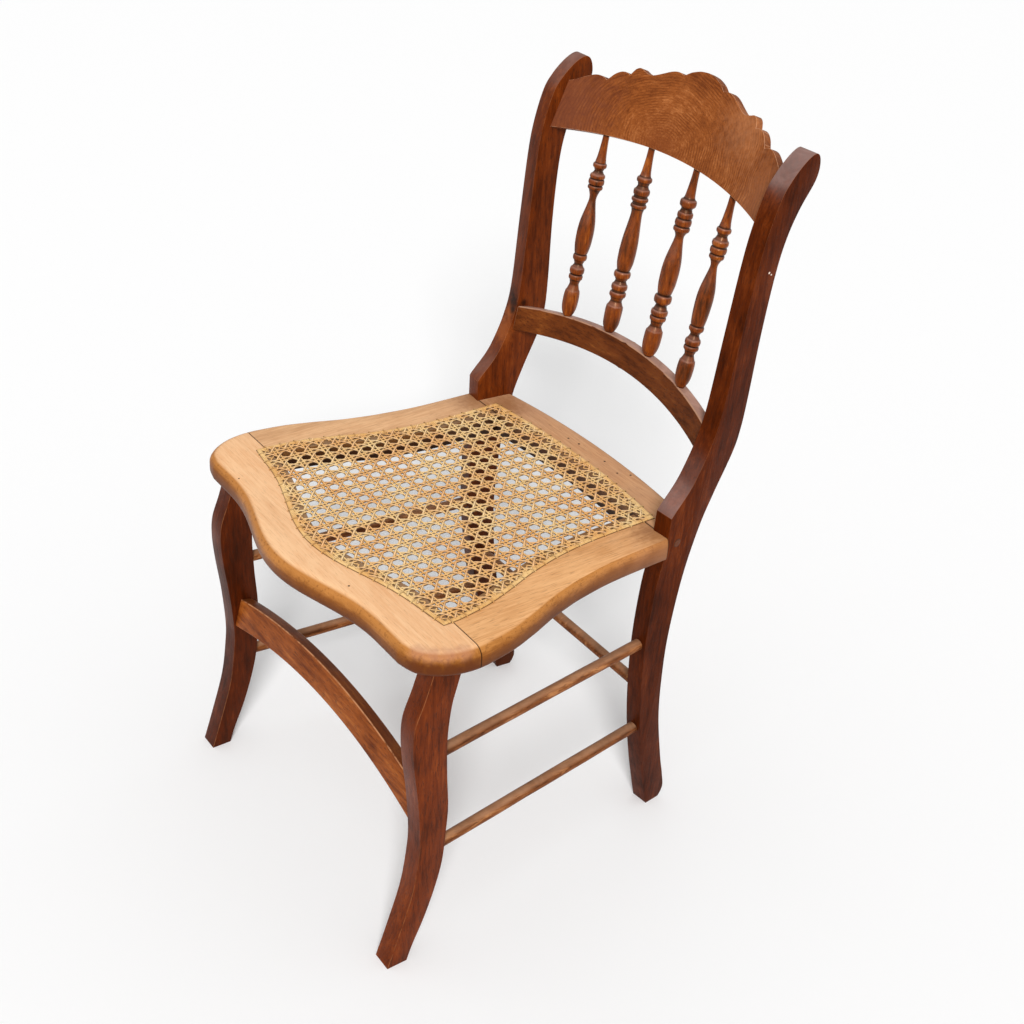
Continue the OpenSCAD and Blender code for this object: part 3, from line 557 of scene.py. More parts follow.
def rail_section(outer, outward, inner, ease=1.0, top_r=EDGE_TOP_R, low_r=EDGE_LOW_R, steps=7):
    """A closed ring from the opening over the top and round the outer edge. ease flattens its rounding."""
    outer, inner = Vector(outer), Vector(inner)
    across = outer - inner
    flat = across.length - top_r - 1
    across.normalize()
    ring = [(inner.x, inner.y, SEAT_LOW)]
    for step in TOP_STEPS:
        place = inner + across * min(step, flat)
        ring.append((place.x, place.y, SEAT_H))
    quarter = [(1 - math.sin(a), 1 - math.cos(a)) for a in span(0, math.pi / 2, steps)]
    rounding = [(top_r * s, SEAT_H - top_r * c) for s, c in quarter]
    rounding += [(low_r * c, SEAT_LOW + low_r * s) for s, c in quarter]
    for depth, z in rounding:
        place = outer - outward * (depth * ease)
        ring.append((place.x, place.y, z))
    return ring


def directions(path):
    """The outward direction at each point of a path that runs anticlockwise round the seat."""
    out = []
    for i in range(len(path)):
        a, b = path[max(i - 1, 0)], path[min(i + 1, len(path) - 1)]
        out.append(Vector((b[1] - a[1], a[0] - b[0])).normalized())
    return out


print("a section has", len(rail_section((1, -90), Vector((0, -1)), (1, 0))), "points")

# %% Stations along the rails
EASING_PASSES = 8


def front_rail_stations():
    edge = [(x, front_y(x)) for x in span(0, BULGE_HALF, 44)]
    shoulder = [(x, -FRONT_D) for x in span(BULGE_HALF, CORNER_X, 10)[1:-1]]
    corner = [(p.x, p.y) for p in corner_path if p.y < -1] + [(HALF_W, -0.7), (HALF_W, 0)]
    half = edge + shoulder + corner
    path = [(-x, y) for x, y in reversed(half)] + half[1:]
    outward = directions(path)
    # The turn into the corner is eased, or the rounded edge would fold over itself there
    for repeat in range(EASING_PASSES):
        before, after = outward[:1] + outward[:-1], outward[1:] + outward[-1:]
        outward = [(a + b + c).normalized() for a, b, c in zip(before, outward, after)]
    outward[0], outward[-1] = Vector((-1, 0)), Vector((1, 0))
    stations = []
    for (x, y), out in zip(path, outward):
        if abs(x) <= BULGE_HALF and y <= -FRONT_D + 0.01:
            inner = (x, min(cane_front(x) + CANE_LIP, 0))
        else:
            inner = (math.copysign(BULGE_HALF, x), 0)
        stations.append(rail_section((x, y), out, inner))
    return stations


def side_rail_stations():
    """The right rail. Its rounding flattens towards the back, where the seat meets the post."""
    path = [(HALF_W, 0), (HALF_W, 1.2)] + [(p.x, p.y) for p in side_path if 9 < p.y < SIDE_LEN - 1.5]
    path += [(HALF_BACK, SIDE_LEN - 1.2), (HALF_BACK, SIDE_LEN)]
    outward = directions(path)
    outward[0] = outward[1] = Vector((1, 0))
    stations = []
    for (x, y), out in zip(path, outward):
        ease = max(0.3, 1 - 0.7 * y / (SIDE_LEN * 0.6))
        stations.append(rail_section((x, y), out, (cane_side(y) - CANE_LIP, y), ease))
    return stations


def back_rail_stations():
    path = [(x, SIDE_LEN + BACK_D - 11 * (x / 153) ** 2) for x in span(180, -180, 40)]
    return [
        rail_section((x, y), out, (x, max(SIDE_LEN, cane_back(x) - CANE_LIP)), 1, 5, 5, 4)
        for (x, y), out in zip(path, directions(path))
    ]


print("front rail stations:", len(front_rail_stations()))

# %% [markdown]
# The seat's wood
#
# The seat is paler than the frame. The top is painted paler as lit and the rounded edge golden, and
# down the edge the colour is painted darker towards the bottom as shade. The edge's colour follows
# the height and the top's colour follows the faces that look up, so that one material covers the
# whole bullnose. The seat is browner towards the back. Nail marks and bruises are small stains at
# measured places, and a pale patch on each front corner is worn varnish with a painted highlight.

# %% Wood of the seat
HONEY, GOLD, AMBER, BACK_BROWN = srgb(184, 122, 62), srgb(124, 69, 20), srgb(84, 40, 12), srgb(178, 128, 96)
SPECK, SEAT_PORE = srgb(84, 42, 16), srgb(104, 58, 26)


def seat_wood(name, grain, shift, low, high, streaks, spots=()):
    """A pale top painted as lit over a golden edge painted darker towards its bottom as shade, browner towards the
    back.
    """
    paint = Paint(name)
    grain_place = paint.along(grain, 70.0, 4.5, shift)
    plain = paint.place(shift=shift)
    fibre = paint.noise(grain_place, 4.5, 6.0, 0.7, 0.2)
    bands = paint.noise(grain_place, 1.1, 3.0, 0.5, 0.5)
    patches = paint.noise(plain, 9.0, 3.0, 0.6, 0.4)
    pores = paint.noise(grain_place, 14.0, 2.0, 0.5).between(0.58, 0.68)
    top = paint.mix((fibre * 0.6 + patches * 0.4).between(0.36, 0.62), low, high)
    coords = paint.coords()
    height = paint.part(coords, "Z") + ((patches - 0.5) * 0.02 + (fibre - 0.5) * 0.012)
    # Painted light and shade down the rounded edge: honey near the top, then gold, then dark amber at the bottom
    edge = paint.mix(height.between(0.432, 0.444), GOLD, HONEY)
    edge = paint.mix(height.between(0.419, 0.436), AMBER, edge)
    edge = paint.mix(paint.noise(plain, 240.0, 3.0, 0.7).between(0.54, 0.68) * 0.45, edge, SPECK)
    # The top, facing the light, is painted paler than the edge
    color = paint.mix(paint.facing_up(0.80, 0.998), edge, top)
    color = paint.mix(bands.between(0.50, 0.72) * streaks, color, GOLD)
    # Browner towards the back
    toward_back = paint.part(coords, "Y").between(-0.02, 0.15) * (0.25 + patches.between(0.35, 0.65) * 0.4)
    color = paint.mix(toward_back, color, BACK_BROWN)
    color = paint.mix(pores * (0.15 + streaks * 0.6), color, SEAT_PORE)
    for patch_color in spots:
        color = spot(paint, color, *patch_color)
    color = paint.mix(paint.attribute("shade") * 0.93, color, SHADE_AND_DIRT)
    bump = fibre * 0.5 - pores * 0.6
    shine = patches.scaled(0.3, 0.7, 0.52, 0.38)
    return paint.finish(color, shine, bump, 0.20, 0.0005, IOR=1.25, **{"Specular Tint": VARNISH})


NAIL, BRUISE = srgb(34, 18, 10), srgb(138, 86, 46)
RUBBED_SHEEN, END_GRAIN = srgb(176, 122, 98), srgb(84, 38, 14)
front_wood = seat_wood(
    "front rail wood", "X", (0, 0, 0), srgb(236, 180, 130), srgb(250, 202, 154), 0.08,
    [((-78, -86, 445), 1.4, NAIL), ((96, -60, 445), 1.3, NAIL), ((-160, -60, 445), 1.2, NAIL)]
    # Pale patches on the front corners: worn varnish with a painted highlight
    + [((x, y, 443), 13, RUBBED_SHEEN, 0.2, 0.5) for x, y in ((228, -57), (240, -47), (248, -33), (253, -17))]
    + [((x, y, 427), 15, END_GRAIN, 0.3, 0.75) for x, y in ((233, -63), (247, -50), (257, -33), (261, -14))],
)
right_wood = seat_wood(
    "right side rail wood", "Y", (0.3, 0, 0), srgb(214, 154, 98), srgb(240, 184, 128), 0.35,
    [((184, 300, 445), 42, BRUISE, 0.1, 0.6)],
)
left_wood = seat_wood(
    "left side rail wood", "Y", (0.7, 0.2, 0), srgb(214, 162, 116), srgb(238, 190, 142), 0.18,
    [((-184, 300, 445), 46, BRUISE, 0.1, 0.6)],
)
back_wood = seat_wood(
    "back rail wood", "X", (0.1, 0.5, 0), srgb(206, 150, 104), srgb(230, 180, 132), 0.25,
    [((x, y, 445), 1.6, NAIL) for x, y in ((-40, 341), (-22, 344), (28, 345), (58, 341), (70, 352))]
    + [((-150, 322, 445), 42, BRUISE, 0.1, 0.6)],
)

# %% The four rails


def rail_piece(name, stations, material, joint_step, left=False):
    """The opening's face is painted dark as shade, the wood under the cane is painted darker as shade and dirt, and the
    joints, which stand a hair apart, are dark.
    """
    bm = bmesh.new()
    # The opening's face gets painted shade, darkest at its bottom
    swept(bm, stations, [1] + [0] * (len(stations[0]) - 1))
    shade = vertex_layer(bm, "shade")
    for v in bm.verts:
        x, y, z = TO_SCENE.inverted() @ v.co
        # Painted shade with some dirt on the wood under the cane
        if z > SEAT_LOW + 1 and in_seat(x, y, 0.8):
            v[shade] = 0.7
        if min(abs(y), abs(y - SIDE_LEN)) < 0.001:
            v[shade] = 1
            v.co.y += joint_step * MM
    seal(bm)
    if left:
        mirror_left(bm)
    finish_piece(name, bm, material, name)


rail_piece("front_rail", front_rail_stations(), front_wood, -0.6)
rail_piece("side_rail_right", side_rail_stations(), right_wood, 0.0)
rail_piece("side_rail_left", side_rail_stations(), left_wood, 0.0, left=True)
rail_piece("back_rail", back_rail_stations(), back_wood, 0.4)

# %% [markdown]
# Rear posts and front legs
#
# Both are sawn from a flat plank to a curved side view, so they are prisms: the outline is drawn
# once and carried across the plank's thickness. The rear post runs from the floor to the top of
# the back in one piece, steps out at the hip where the seat is screwed to it, and leans.

# %% Outline of a rear post
# Below the hip a point is a share of the seat's height and a depth, above it a height and a depth
POST_FRONT_LOW = [(-0.01, 49.5), (0.18, 25), (0.36, 7), (0.54, -4.2), (0.69, -8.4), (0.84, -6.6)]
HIP_H = 27
POST_FRONT_HIGH = [
    (34, 6), (55, 24), (75, 35.5), (105, 48), (145, 57.5), (235, 65.5),
    (315, 73), (355, 79.5), (393, 91), (411, 102.5), (424, 115.5), (431.5, 126.5), (434, 135),
]
POST_END = [(431, 141), (423, 144.5), (412, 145), (399, 140.5)]
POST_BACK_HIGH = [
    (375, 125), (345, 112.5), (305, 105), (235, 100.3), (155, 98.7), (115, 96.3), (85, 89.5), (35, 67.7), (-5, 53),
]
POST_BACK_LOW = [(0.85, 39.5), (0.68, 32.5), (0.54, 33.2), (0.36, 41.4), (0.18, 60), (0.09, 71.5), (0.03, 77)]
POST_HEEL = (-0.01, 68)


def low_point(p):
    return (p[1], (p[0] - 1) * SEAT_H)


post_front = spline([low_point(p) for p in POST_FRONT_LOW] + [(-1, -SEAT_T - 6), (0, -SEAT_T)])
post_top = spline(
    [(0.5, HIP_H)] + [(depth, height) for height, depth in POST_FRONT_HIGH + POST_END + POST_BACK_HIGH]
    + [low_point(p) for p in POST_BACK_LOW + [POST_HEEL]]
)
print("a post's outline has", len(post_front + post_top), "points")

# %% Rear posts
POST_FRAME = Matrix.Translation((HIP_X, SIDE_LEN, SEAT_H))
POST_FRAME = POST_FRAME @ Matrix.Rotation(POST_TOE, 4, "Z") @ Matrix.Rotation(POST_LEAN, 4, "Y")
# Turns a drawn outline (back, up) into the plane of a plank, with its thickness along X
STAND_UP = Matrix(((0, 0, 1, 0), (1, 0, 0, 0), (0, 1, 0, 0), (0, 0, 0, 1)))


def into_scene(bm, place):
    bmesh.ops.transform(bm, matrix=TO_SCENE @ place, verts=bm.verts)


def plank(name, outline, thick, place, material, left):
    """A standing board, sawn to its outline and cut level at the floor."""
    bm = prism(outline, thick)
    into_scene(bm, place @ STAND_UP)
    saw(bm, (0, 0, 0), (0, 0, -1), cut_off=True)
    if left:
        mirror_left(bm)
    soften(bm)
    finish_piece(name, bm, material, name)


post_outline = list(reversed(post_top)) + list(reversed(post_front))
for left, name in enumerate(("rear_post_right", "rear_post_left")):
    place = POST_FRAME @ Matrix.Translation((-POST_T, 0, 0))
    plank(name, post_outline, POST_T, place, post_woods[left], left)

# %% Front legs
LEG_T, LEG_X = 26, 210.5
LEG_FRONT = [
    (-0.01, -90.7), (0.1, -76), (0.24, -59), (0.36, -51.8), (0.44, -50.3), (0.57, -54.5),
    (0.69, -61), (0.775, -63.7), (0.84, -61.5), (0.91, -51), (1, -39.5),
]
LEG_BACK = [
    (-0.01, -64.3), (0.05, -56.2), (0.14, -40.9), (0.24, -27.6), (0.33, -19.4), (0.43, -16.3),
    (0.52, -14.8), (0.64, -18.3), (0.76, -20), (0.86, -16.7), (0.93, -10), (1, -2.5),
]
leg_front, leg_back = (spline([(y, share * SEAT_LOW) for share, y in edge]) for edge in (LEG_FRONT, LEG_BACK))
leg_outline = leg_front + list(reversed(leg_back))
for left, name in enumerate(("front_leg_right", "front_leg_left")):
    plank(name, leg_outline, LEG_T, Matrix.Translation((LEG_X, 0, 0)), leg_woods[left], left)

# %% [markdown]
# Bowed back rails
#
# The crest and the lower rail lean back, bow backwards in plan and are cut to an arch below. They
# start flat: the outline is given its thickness and cut into upright strips, and every vertex is
# then moved onto the bowed, leaning surface. The strips let the flat board bend smoothly.

# %% Bending a board between the posts
STRIP, IN_POST = 6, 0.5


def in_post_plane():
    """A plane a little inside the right post, where a rail that runs into it is cut."""
    inner = POST_FRAME @ Vector((IN_POST - POST_T, 0, 0))
    normal = POST_FRAME.to_3x3() @ Vector((1, 0, 0))
    return TO_SCENE @ inner, normal


class Rail:
    """y and z of the lower corners, lean, bow, half length and thickness, in millimetres."""

    def __init__(self, y, z, lean, bow, half, thick):
        self.y, self.z, self.lean = SIDE_LEN + y, SEAT_H + z, math.radians(lean)
        self.bow, self.half, self.thick = bow, half, thick
        self.radius = (half ** 2 + bow ** 2) / (2 * bow)

    def point(self, x, n, s):
        """A place x along the rail, n behind its front face and s up it."""
        m = self.bow - self.radius + math.sqrt(self.radius ** 2 - x * x) + n
        return Vector((
            x,
            self.y + m * math.cos(self.lean) + s * math.sin(self.lean),
            self.z + s * math.cos(self.lean) - m * math.sin(self.lean),
        ))


def arch(x, rise, half):
    return rise * (1 - (x / half) ** 2)


def post_inner_x(y, z):
    """Half the distance between the posts at y behind the hip and z above the seat."""
    u = -POST_T * math.cos(POST_LEAN) + z * math.sin(POST_LEAN)
    return HIP_X + u * math.cos(POST_TOE) - y * math.sin(POST_TOE)


def bowed_board(rail, outline):
    bm = prism(outline, rail.thick)
    reach = int(rail.half) // STRIP * STRIP
    for x in range(-reach, reach + 1, STRIP):
        saw(bm, (x, 0, 0), (1, 0, 0))
    for v in bm.verts:
        v.co = TO_SCENE @ rail.point(v.co.x, v.co.z, v.co.y)
    place, normal = in_post_plane()
    for side in (1, -1):
        saw(bm, (side * place.x, place.y, place.z), (side * normal.x, normal.y, normal.z), cut_off=True)
    soften(bm, 28)
    return bm


crest = Rail(88, 354, 22.7, 30, post_inner_x(88, 354), 11)
lower = Rail(53, 124, 11.7, 27, post_inner_x(53, 124), 16)
print("crest half length", round(crest.half, 1), "mm, lower rail", round(lower.half, 1), "mm")

# %% Outlines of the crest and the lower rail
CREST_H, CREST_ARCH, LOWER_ARCH, LOWER_H = 126, 26, 23, 33
BOARD_HALF, ARCH_STEPS = 190, 64
LOBES = [
    [(0, 0), (12, -1.6), (24, -6.2), (33, -12.5)],
    [(33, -12.5), (42, -10.9), (52, -13.3), (64, -19.4), (74, -24.4), (81, -26.1),
     (89, -24.7), (96, -22.9), (101.5, -25.6), (105, -30.9), (107, -34.9)],
    [(107, -34.9), (113, -33.4), (120, -35), (127, -40), (132, -46.5), (134.5, -50)],
    [(134.5, -50), (143, -48), (152, -49.5), (163, -55.5), (174, -63), (190, -72)],
]
scallops = [(0, CREST_H)]
for lobe in LOBES:
    scallops += [(p.x, p.y + CREST_H) for p in spline(lobe, 5)[1:]]
along_board = span(-BOARD_HALF, BOARD_HALF, ARCH_STEPS)
crest_outline = [(-x, s) for x, s in reversed(scallops)] + scallops[1:]
crest_outline += [(x, arch(x, CREST_ARCH, crest.half)) for x in reversed(along_board)]
lower_outline = [(x, arch(x, LOWER_ARCH, lower.half)) for x in along_board]
lower_outline += [(x, s - LOWER_H) for x, s in reversed(lower_outline)]
print("the crest's outline has", len(crest_outline), "points")

# %% Crest rail and lower back rail
RING_PITCH, RING_STRETCH = 0.0034, (0.8, 0.35, 1.15)


def crest_arcs(paint):
    """Grain that follows the arcs of a flat sawn board, round a place low on the crest."""
    centre = at(*crest.point(-25, 0, 30))
    place = paint.place(RING_STRETCH, [-k * c for k, c in zip(RING_STRETCH, centre)])
    wobble = (paint.noise(place, 12.0, 2.0, 0.5) - 0.5) * 0.03
    reach = paint.add("VectorMath", {"operation": "LENGTH"}, {0: place}, out=1) + wobble
    turn = paint.math("ARCTAN2", paint.part(place, "X"), paint.part(place, "Z"))
    rings = paint.math("SINE", reach * (math.tau / RING_PITCH)).between(0.35, 1.0)
    rings = rings * paint.noise(place, 28.0, 3.0).between(0.35, 0.6)
    return paint.add("CombineXYZ", None, {0: reach * 150.0, 1: turn * 3.0}), rings


# The pale patch round (90, 420, 880) is a painted highlight
crest_wood = wood(
    "crest wood", srgb(98, 46, 18), srgb(142, 77, 34), srgb(182, 112, 62), rough=0.44,
    edge=srgb(226, 172, 134), contrast=0.8, board=crest_arcs, worn_from=-2.0,
    spots=[
        ((-175, 395, 830), 95, srgb(106, 58, 42), 0.1, 0.7), ((170, 395, 820), 70, srgb(152, 96, 64), 0.1, 0.5),
        ((90, 420, 880), 60, srgb(190, 126, 84), 0.0, 0.55), ((-30, 420, 815), 55, srgb(112, 54, 26), 0.0, 0.45),
    ],
)
# Its top faces take a pale painted sheen, the reflection of the sky
lower_wood = wood(
    "lower rail wood", srgb(66, 28, 9), srgb(102, 50, 18), srgb(132, 74, 30), "X", 0.42,
    srgb(178, 136, 108), srgb(212, 168, 150), 0.6, contrast=0.8,
)
finish_piece("crest_rail", bowed_board(crest, crest_outline), crest_wood, "crest_rail")
finish_piece("lower_back_rail", bowed_board(lower, lower_outline), lower_wood, "lower_back_rail")

# %% [markdown]
# Turned spindles
#
# A spindle is turned on a lathe, so a profile spun about its axis is exactly how the real one was
# made. They were turned by hand: each row of measured heights and radii below is one spindle, from
# the bulb at its foot to the last bead under the crest, and a bead has its half width as well.
# Beads are rounded, with a tight groove between neighbours, and the long vase is one smooth curve.

# %% Measured turnings
TURNINGS = [
    [(22.7, 9.9), (34.7, 8.8), (43.5, 5.8), (52.7, 8.8, 3.3), (61.3, 9.2, 4.2), (70, 5.4), (78.8, 8.8, 3.8), (108, 10.5),
     (154, 4.3), (168.5, 9.3, 2.4), (175.5, 9.8, 3.6), (182.3, 9.4, 2.8), (189.3, 5.3), (195.9, 8.5, 2.9)],
    [(25, 10.6), (34.5, 10.2), (41.7, 7), (49.9, 10.3, 3.2), (59.5, 10, 3.8), (67.5, 6.8), (75.6, 10.3, 3.9), (101.7, 10.5),
     (153, 6.8), (162.3, 9.8, 2.3), (170.5, 10.2, 2.4), (179.6, 9.9, 3.7), (187.5, 6.5), (194.7, 9.3, 3)],
    [(21.7, 10.7), (33, 10.2), (40, 6.7), (49.3, 9.9, 2.9), (56.6, 10.2, 3.6), (65.9, 6.7), (73.9, 10.6, 4.6), (106, 10.8),
     (151.7, 5.2), (161.5, 9.8, 3), (169.5, 9.8, 4.2), (178.2, 9.3, 3.6), (185.9, 6.5), (192.6, 9.8, 4.1)],
    [(22.7, 9.9), (33.5, 9.1), (41.5, 5.7), (50, 8.9, 2.8), (57.3, 9.2, 3.8), (66.8, 5.3), (74.3, 8.8, 3.2), (107, 9.9),
     (151, 4.1), (162.3, 8.8, 2.8), (169.9, 9.6, 3.9), (178.2, 9.6, 3.4), (187, 5.8), (193.2, 8.5, 2.9)],
]
SPINDLE_DRAWN, SPINDLE_FOOT_R, SPINDLE_HEAD_R = 232.5, 4.8, 3.9
VASE_FALL = [(0.16, 0.975), (0.34, 0.86), (0.53, 0.62), (0.71, 0.34), (0.88, 0.1)]
GROOVE = 1.7
print("spindles measured:", len(TURNINGS))

# %% A spindle's profile


def bead(z, r, w):
    """Half a circle's worth of points, flattened to the bead's height and depth."""
    angles = [math.pi * k / 8 for k in range(9)]
    return [(z - w * math.cos(a), r - GROOVE + GROOVE * math.sin(a) ** 0.8) for a in angles]


def cove(start, neck, end):
    """A hollow that drops from start to the neck and rises to end."""
    fall, rise = (((z + 2 * neck[0]) / 3, neck[1] + 0.25 * (r - neck[1])) for z, r in (start, end))
    return spline([start, fall, neck, rise, end], 3)[1:-1]


def spindle_profile(turning):
    bulb, ridge, neck_1, b1, b2, neck_2, b3, widest, neck_3, b4, b5, b6, neck_4, b7 = turning
    b1, b2, b3, b4, b5, b6, b7 = (bead(*b) for b in (b1, b2, b3, b4, b5, b6, b7))
    foot = spline([
        (0.2, SPINDLE_FOOT_R), (3.5, 0.67 * bulb[1]), (7.5, 0.83 * bulb[1]), (13.5, 0.95 * bulb[1]), bulb,
        (ridge[0] - 4, (bulb[1] + ridge[1]) / 2 + 0.2), ridge,
    ], 4)
    lip = (ridge[0] + 1, ridge[1] - 0.9)
    base = (b3[-1][0] + 0.5, 7.6)
    vase = spline([
        base, (base[0] + 3, base[1] + 0.3 * (widest[1] - base[1])), ((base[0] + widest[0]) / 2, widest[1] - 0.5),
        widest,
    ] + [
        (widest[0] + f * (neck_3[0] - widest[0]), neck_3[1] + g * (widest[1] - neck_3[1])) for f, g in VASE_FALL
    ] + [
        neck_3, ((neck_3[0] + b4[0][0]) / 2, 0.7 * neck_3[1] + 0.3 * b4[0][1]), b4[0],
    ], 4)[:-1]
    top = b7[-1]
    taper = spline([
        top, (top[0] + 2.5, 6.4), (top[0] + 8, 5.5), (top[0] + 17, 4.7), (top[0] + 26, 4.1),
        (SPINDLE_DRAWN, SPINDLE_HEAD_R),
    ], 3)[1:]
    whole = foot + [lip] + cove(lip, neck_1, b1[0]) + b1 + b2 + cove(b2[-1], neck_2, b3[0]) + b3
    whole += vase + b4 + b5 + b6 + cove(b6[-1], neck_4, b7[0]) + b7 + taper
    return [(-2, SPINDLE_FOOT_R)] + [(p[0], p[1]) for p in whole] + [(SPINDLE_DRAWN + 2, SPINDLE_HEAD_R)]


print("profile points:", len(spindle_profile(TURNINGS[0])))

# %% Spindles
SPINDLE_LOW_X, SPINDLE_TOP_X = (-107.5, -37, 37.5, 109), (-110.5, -41, 38, 112.5)
SPINDLE_FOOT_SET, SPINDLE_SIDES = 5.5, 36
BEADS_FROM, BEADS_TO = 32, 200


def turned(bm, profile, sides):
    """Spins a profile of (radius, height, shade) about Z."""
    shade = vertex_layer(bm, "shade")
    chain = [bm.verts.new((r, 0, z)) for r, z, darkness in profile]
    for v, (r, z, darkness) in zip(chain, profile):
        v[shade] = darkness
    edges = [bm.edges.new(pair) for pair in zip(chain, chain[1:])]
    bmesh.ops.spin(
        bm, geom=chain + edges, cent=(0, 0, 0), axis=(0, 0, 1), angle=math.tau, steps=sides, use_merge=True
    )


def along(a, b):
    """Places a piece drawn upwards from the origin on the line from a to b."""
    return Matrix.Translation(a) @ (b - a).to_track_quat("Z", "Y").to_matrix().to_4x4()


def spindle_darkening(z, r, profile):
    """Darker in the grooves between the turnings, and at both ends where they meet the rails."""
    if not BEADS_FROM < z < BEADS_TO:
        return 0.9 * (z < 1 or z > SPINDLE_DRAWN - 1)
    near, wide = ((lookup(z - reach, profile) + lookup(z + reach, profile)) / 2 - r for reach in (2.2, 4.5))
    return min(max((near - 0.1) / 0.5, (wide - 0.3) / 2.2, 0), 1)


def spindle(i):
    x_low, x_top = SPINDLE_LOW_X[i], SPINDLE_TOP_X[i]
    foot = lower.point(x_low, SPINDLE_FOOT_SET, arch(x_low, LOWER_ARCH, lower.half))
    head = crest.point(x_top, crest.thick / 2, arch(x_top, CREST_ARCH, crest.half))
    stretch = (head - foot).length / SPINDLE_DRAWN
    profile = spindle_profile(TURNINGS[i])
    bm = bmesh.new()
    turned(bm, [(r, z * stretch, spindle_darkening(z, r, profile)) for z, r in profile], SPINDLE_SIDES)
    seal(bm)
    into_scene(bm, along(foot, head))
    name = f"spindle_{i + 1}"
    finish_piece(name, bm, spindle_wood, name, TURNED_BELOW)


# The tops of the beads take a pale painted sheen
spindle_wood = wood(
    "turned wood", srgb(60, 24, 5), srgb(114, 49, 9), srgb(158, 84, 24), "Z", 0.34,
    painted_top_light=srgb(164, 122, 108), painted_top_from=0.12, contrast=1.1, gloss=1.4,
)
for i in range(len(TURNINGS)):
    spindle(i)

# %% [markdown]
# Stretchers
#
# Below the seat, five dowels and one arched board hold the legs. The dowels were made with a
# rounding plane and worn by shoe heels, so they are not quite even: a cone with the same radius at
# both ends is cut into rings and each ring is moved by a fraction of a millimetre.

# %% Round stretchers
STRETCHER_D, STRETCHER_IN, STRETCHER_SIDES, STRETCHER_RINGS = 14.5, 13, 28, 24
LEFT_FRONT_Z, RIGHT_FRONT_Z, SIDE_REAR_Z = (281.5, 134), (289, 152.5), (287, 146)
BACK_STRETCHER_Y, BACK_STRETCHER_Z = 18, 205
LEG_MID = LEG_X + LEG_T / 2
leg_back_table = [(p.y, p.x) for p in leg_back]
post_front_table = [(p.y, p.x) for p in post_front]
# Their upper sides take a pale painted sheen
rod_wood = wood(
    "rod wood", srgb(78, 40, 20), srgb(122, 70, 36), srgb(170, 114, 70), "Y", 0.46,
    painted_top_light=srgb(176, 132, 100), painted_top_from=0.35, contrast=1.3,
)


def rod(name, a, b, seed):
    length = (b - a).length
    bm = bmesh.new()
    bmesh.ops.create_cone(
        bm, cap_ends=True, segments=STRETCHER_SIDES, radius1=STRETCHER_D / 2, radius2=STRETCHER_D / 2,
        depth=length, matrix=Matrix.Translation((0, 0, length / 2)),
    )
    for k in range(1, STRETCHER_RINGS):
        saw(bm, (0, 0, length * k / STRETCHER_RINGS), (0, 0, 1))
    for v in bm.verts:
        angle = math.atan2(v.co.y, v.co.x)
        wave = noise.noise((math.cos(angle) * 0.8, math.sin(angle) * 0.8 + seed, v.co.z * 0.02))
        v.co.xy = v.co.xy * (1 + (0.045 * wave - 0.02))
    into_scene(bm, along(a, b))
    seal(bm)
    finish_piece(name, bm, rod_wood, name, TURNED_BELOW)


def post_point(x, y, z):
    return POST_FRAME @ Vector((x, y, z))


for k, height in enumerate(("upper", "lower")):
    for side, fronts, sign in (("left", LEFT_FRONT_Z, -1), ("right", RIGHT_FRONT_Z, 1)):
        front = Vector((LEG_MID, lookup(fronts[k], leg_back_table), fronts[k]))
        z = SIDE_REAR_Z[k] - SEAT_H
        rear = post_point(-POST_T / 2, lookup(z, post_front_table), z)
        reach = (rear - front).normalized() * STRETCHER_IN
        ends = [front - reach, rear + reach]
        for end in ends:
            end.x *= sign
        rod(f"side_stretcher_{height}_{side}", *ends, k * 3 + sign)
tip = post_point(-POST_T, BACK_STRETCHER_Y, BACK_STRETCHER_Z - SEAT_H)
tip.x += STRETCHER_IN
rod("back_stretcher", Vector((-tip.x, tip.y, tip.z)), tip, 9)

# %% Front stretcher
FRONT_STRETCHER_Y, FRONT_STRETCHER_Z, FRONT_STRETCHER_H = -48.5, 190, 40
FRONT_STRETCHER_ARCH, FRONT_STRETCHER_T, FRONT_STRETCHER_RAKE = 28, 16, math.radians(14)
# Its top faces are painted darker as shade under the seat
stretcher_wood = wood(
    "front stretcher wood", srgb(96, 42, 12), srgb(138, 70, 24), srgb(166, 95, 40), "X", 0.42,
    srgb(196, 138, 96), srgb(84, 48, 34), 0.3,
)
board_x = span(-LEG_X - 2, LEG_X + 2, 60)
board_top = [(x, FRONT_STRETCHER_H + arch(x, FRONT_STRETCHER_ARCH - 2, LEG_X)) for x in reversed(board_x)]
bm = prism(board_top + [(x, arch(x, FRONT_STRETCHER_ARCH, LEG_X)) for x in board_x], FRONT_STRETCHER_T)
# Turns a drawn outline (along, up) into the plane of the board, with its thickness along Y
lay = Matrix(((1, 0, 0, 0), (0, 0, 1, 0), (0, 1, 0, 0), (0, 0, 0, 1)))
place = Matrix.Translation((0, FRONT_STRETCHER_Y, FRONT_STRETCHER_Z))
into_scene(bm, place @ Matrix.Rotation(-FRONT_STRETCHER_RAKE, 4, "X") @ lay)
seal(bm)
soften(bm, radius=0.0014)
finish_piece("front_stretcher", bm, stretcher_wood, "front_stretcher")

# %% [markdown]
# Woven cane
#
# The seat is woven by hand in six directions: a pair of strands runs from back to front and a pair
# from side to side between each two rows of gaps, and single strands cross both ways on the
# diagonal, cutting the corners of the gaps so that they look round. Every strand is a thin flat
# strip with a rounded top that rises and dips as it passes over and under the others. It is
# modelled strand by strand, because a flat sheet with a pattern has no depth when seen close up.

# %% The weave's lattice
PITCH = 19.05
GAP_X, GAP_Y, ROW_BOW = 10.4, -50.9, 8.3
PAIR_HALF, BORDER = 2.4, 15
LINE_FROM, LINE_TO, LINE_STEP = -4, 24, 1 / 6


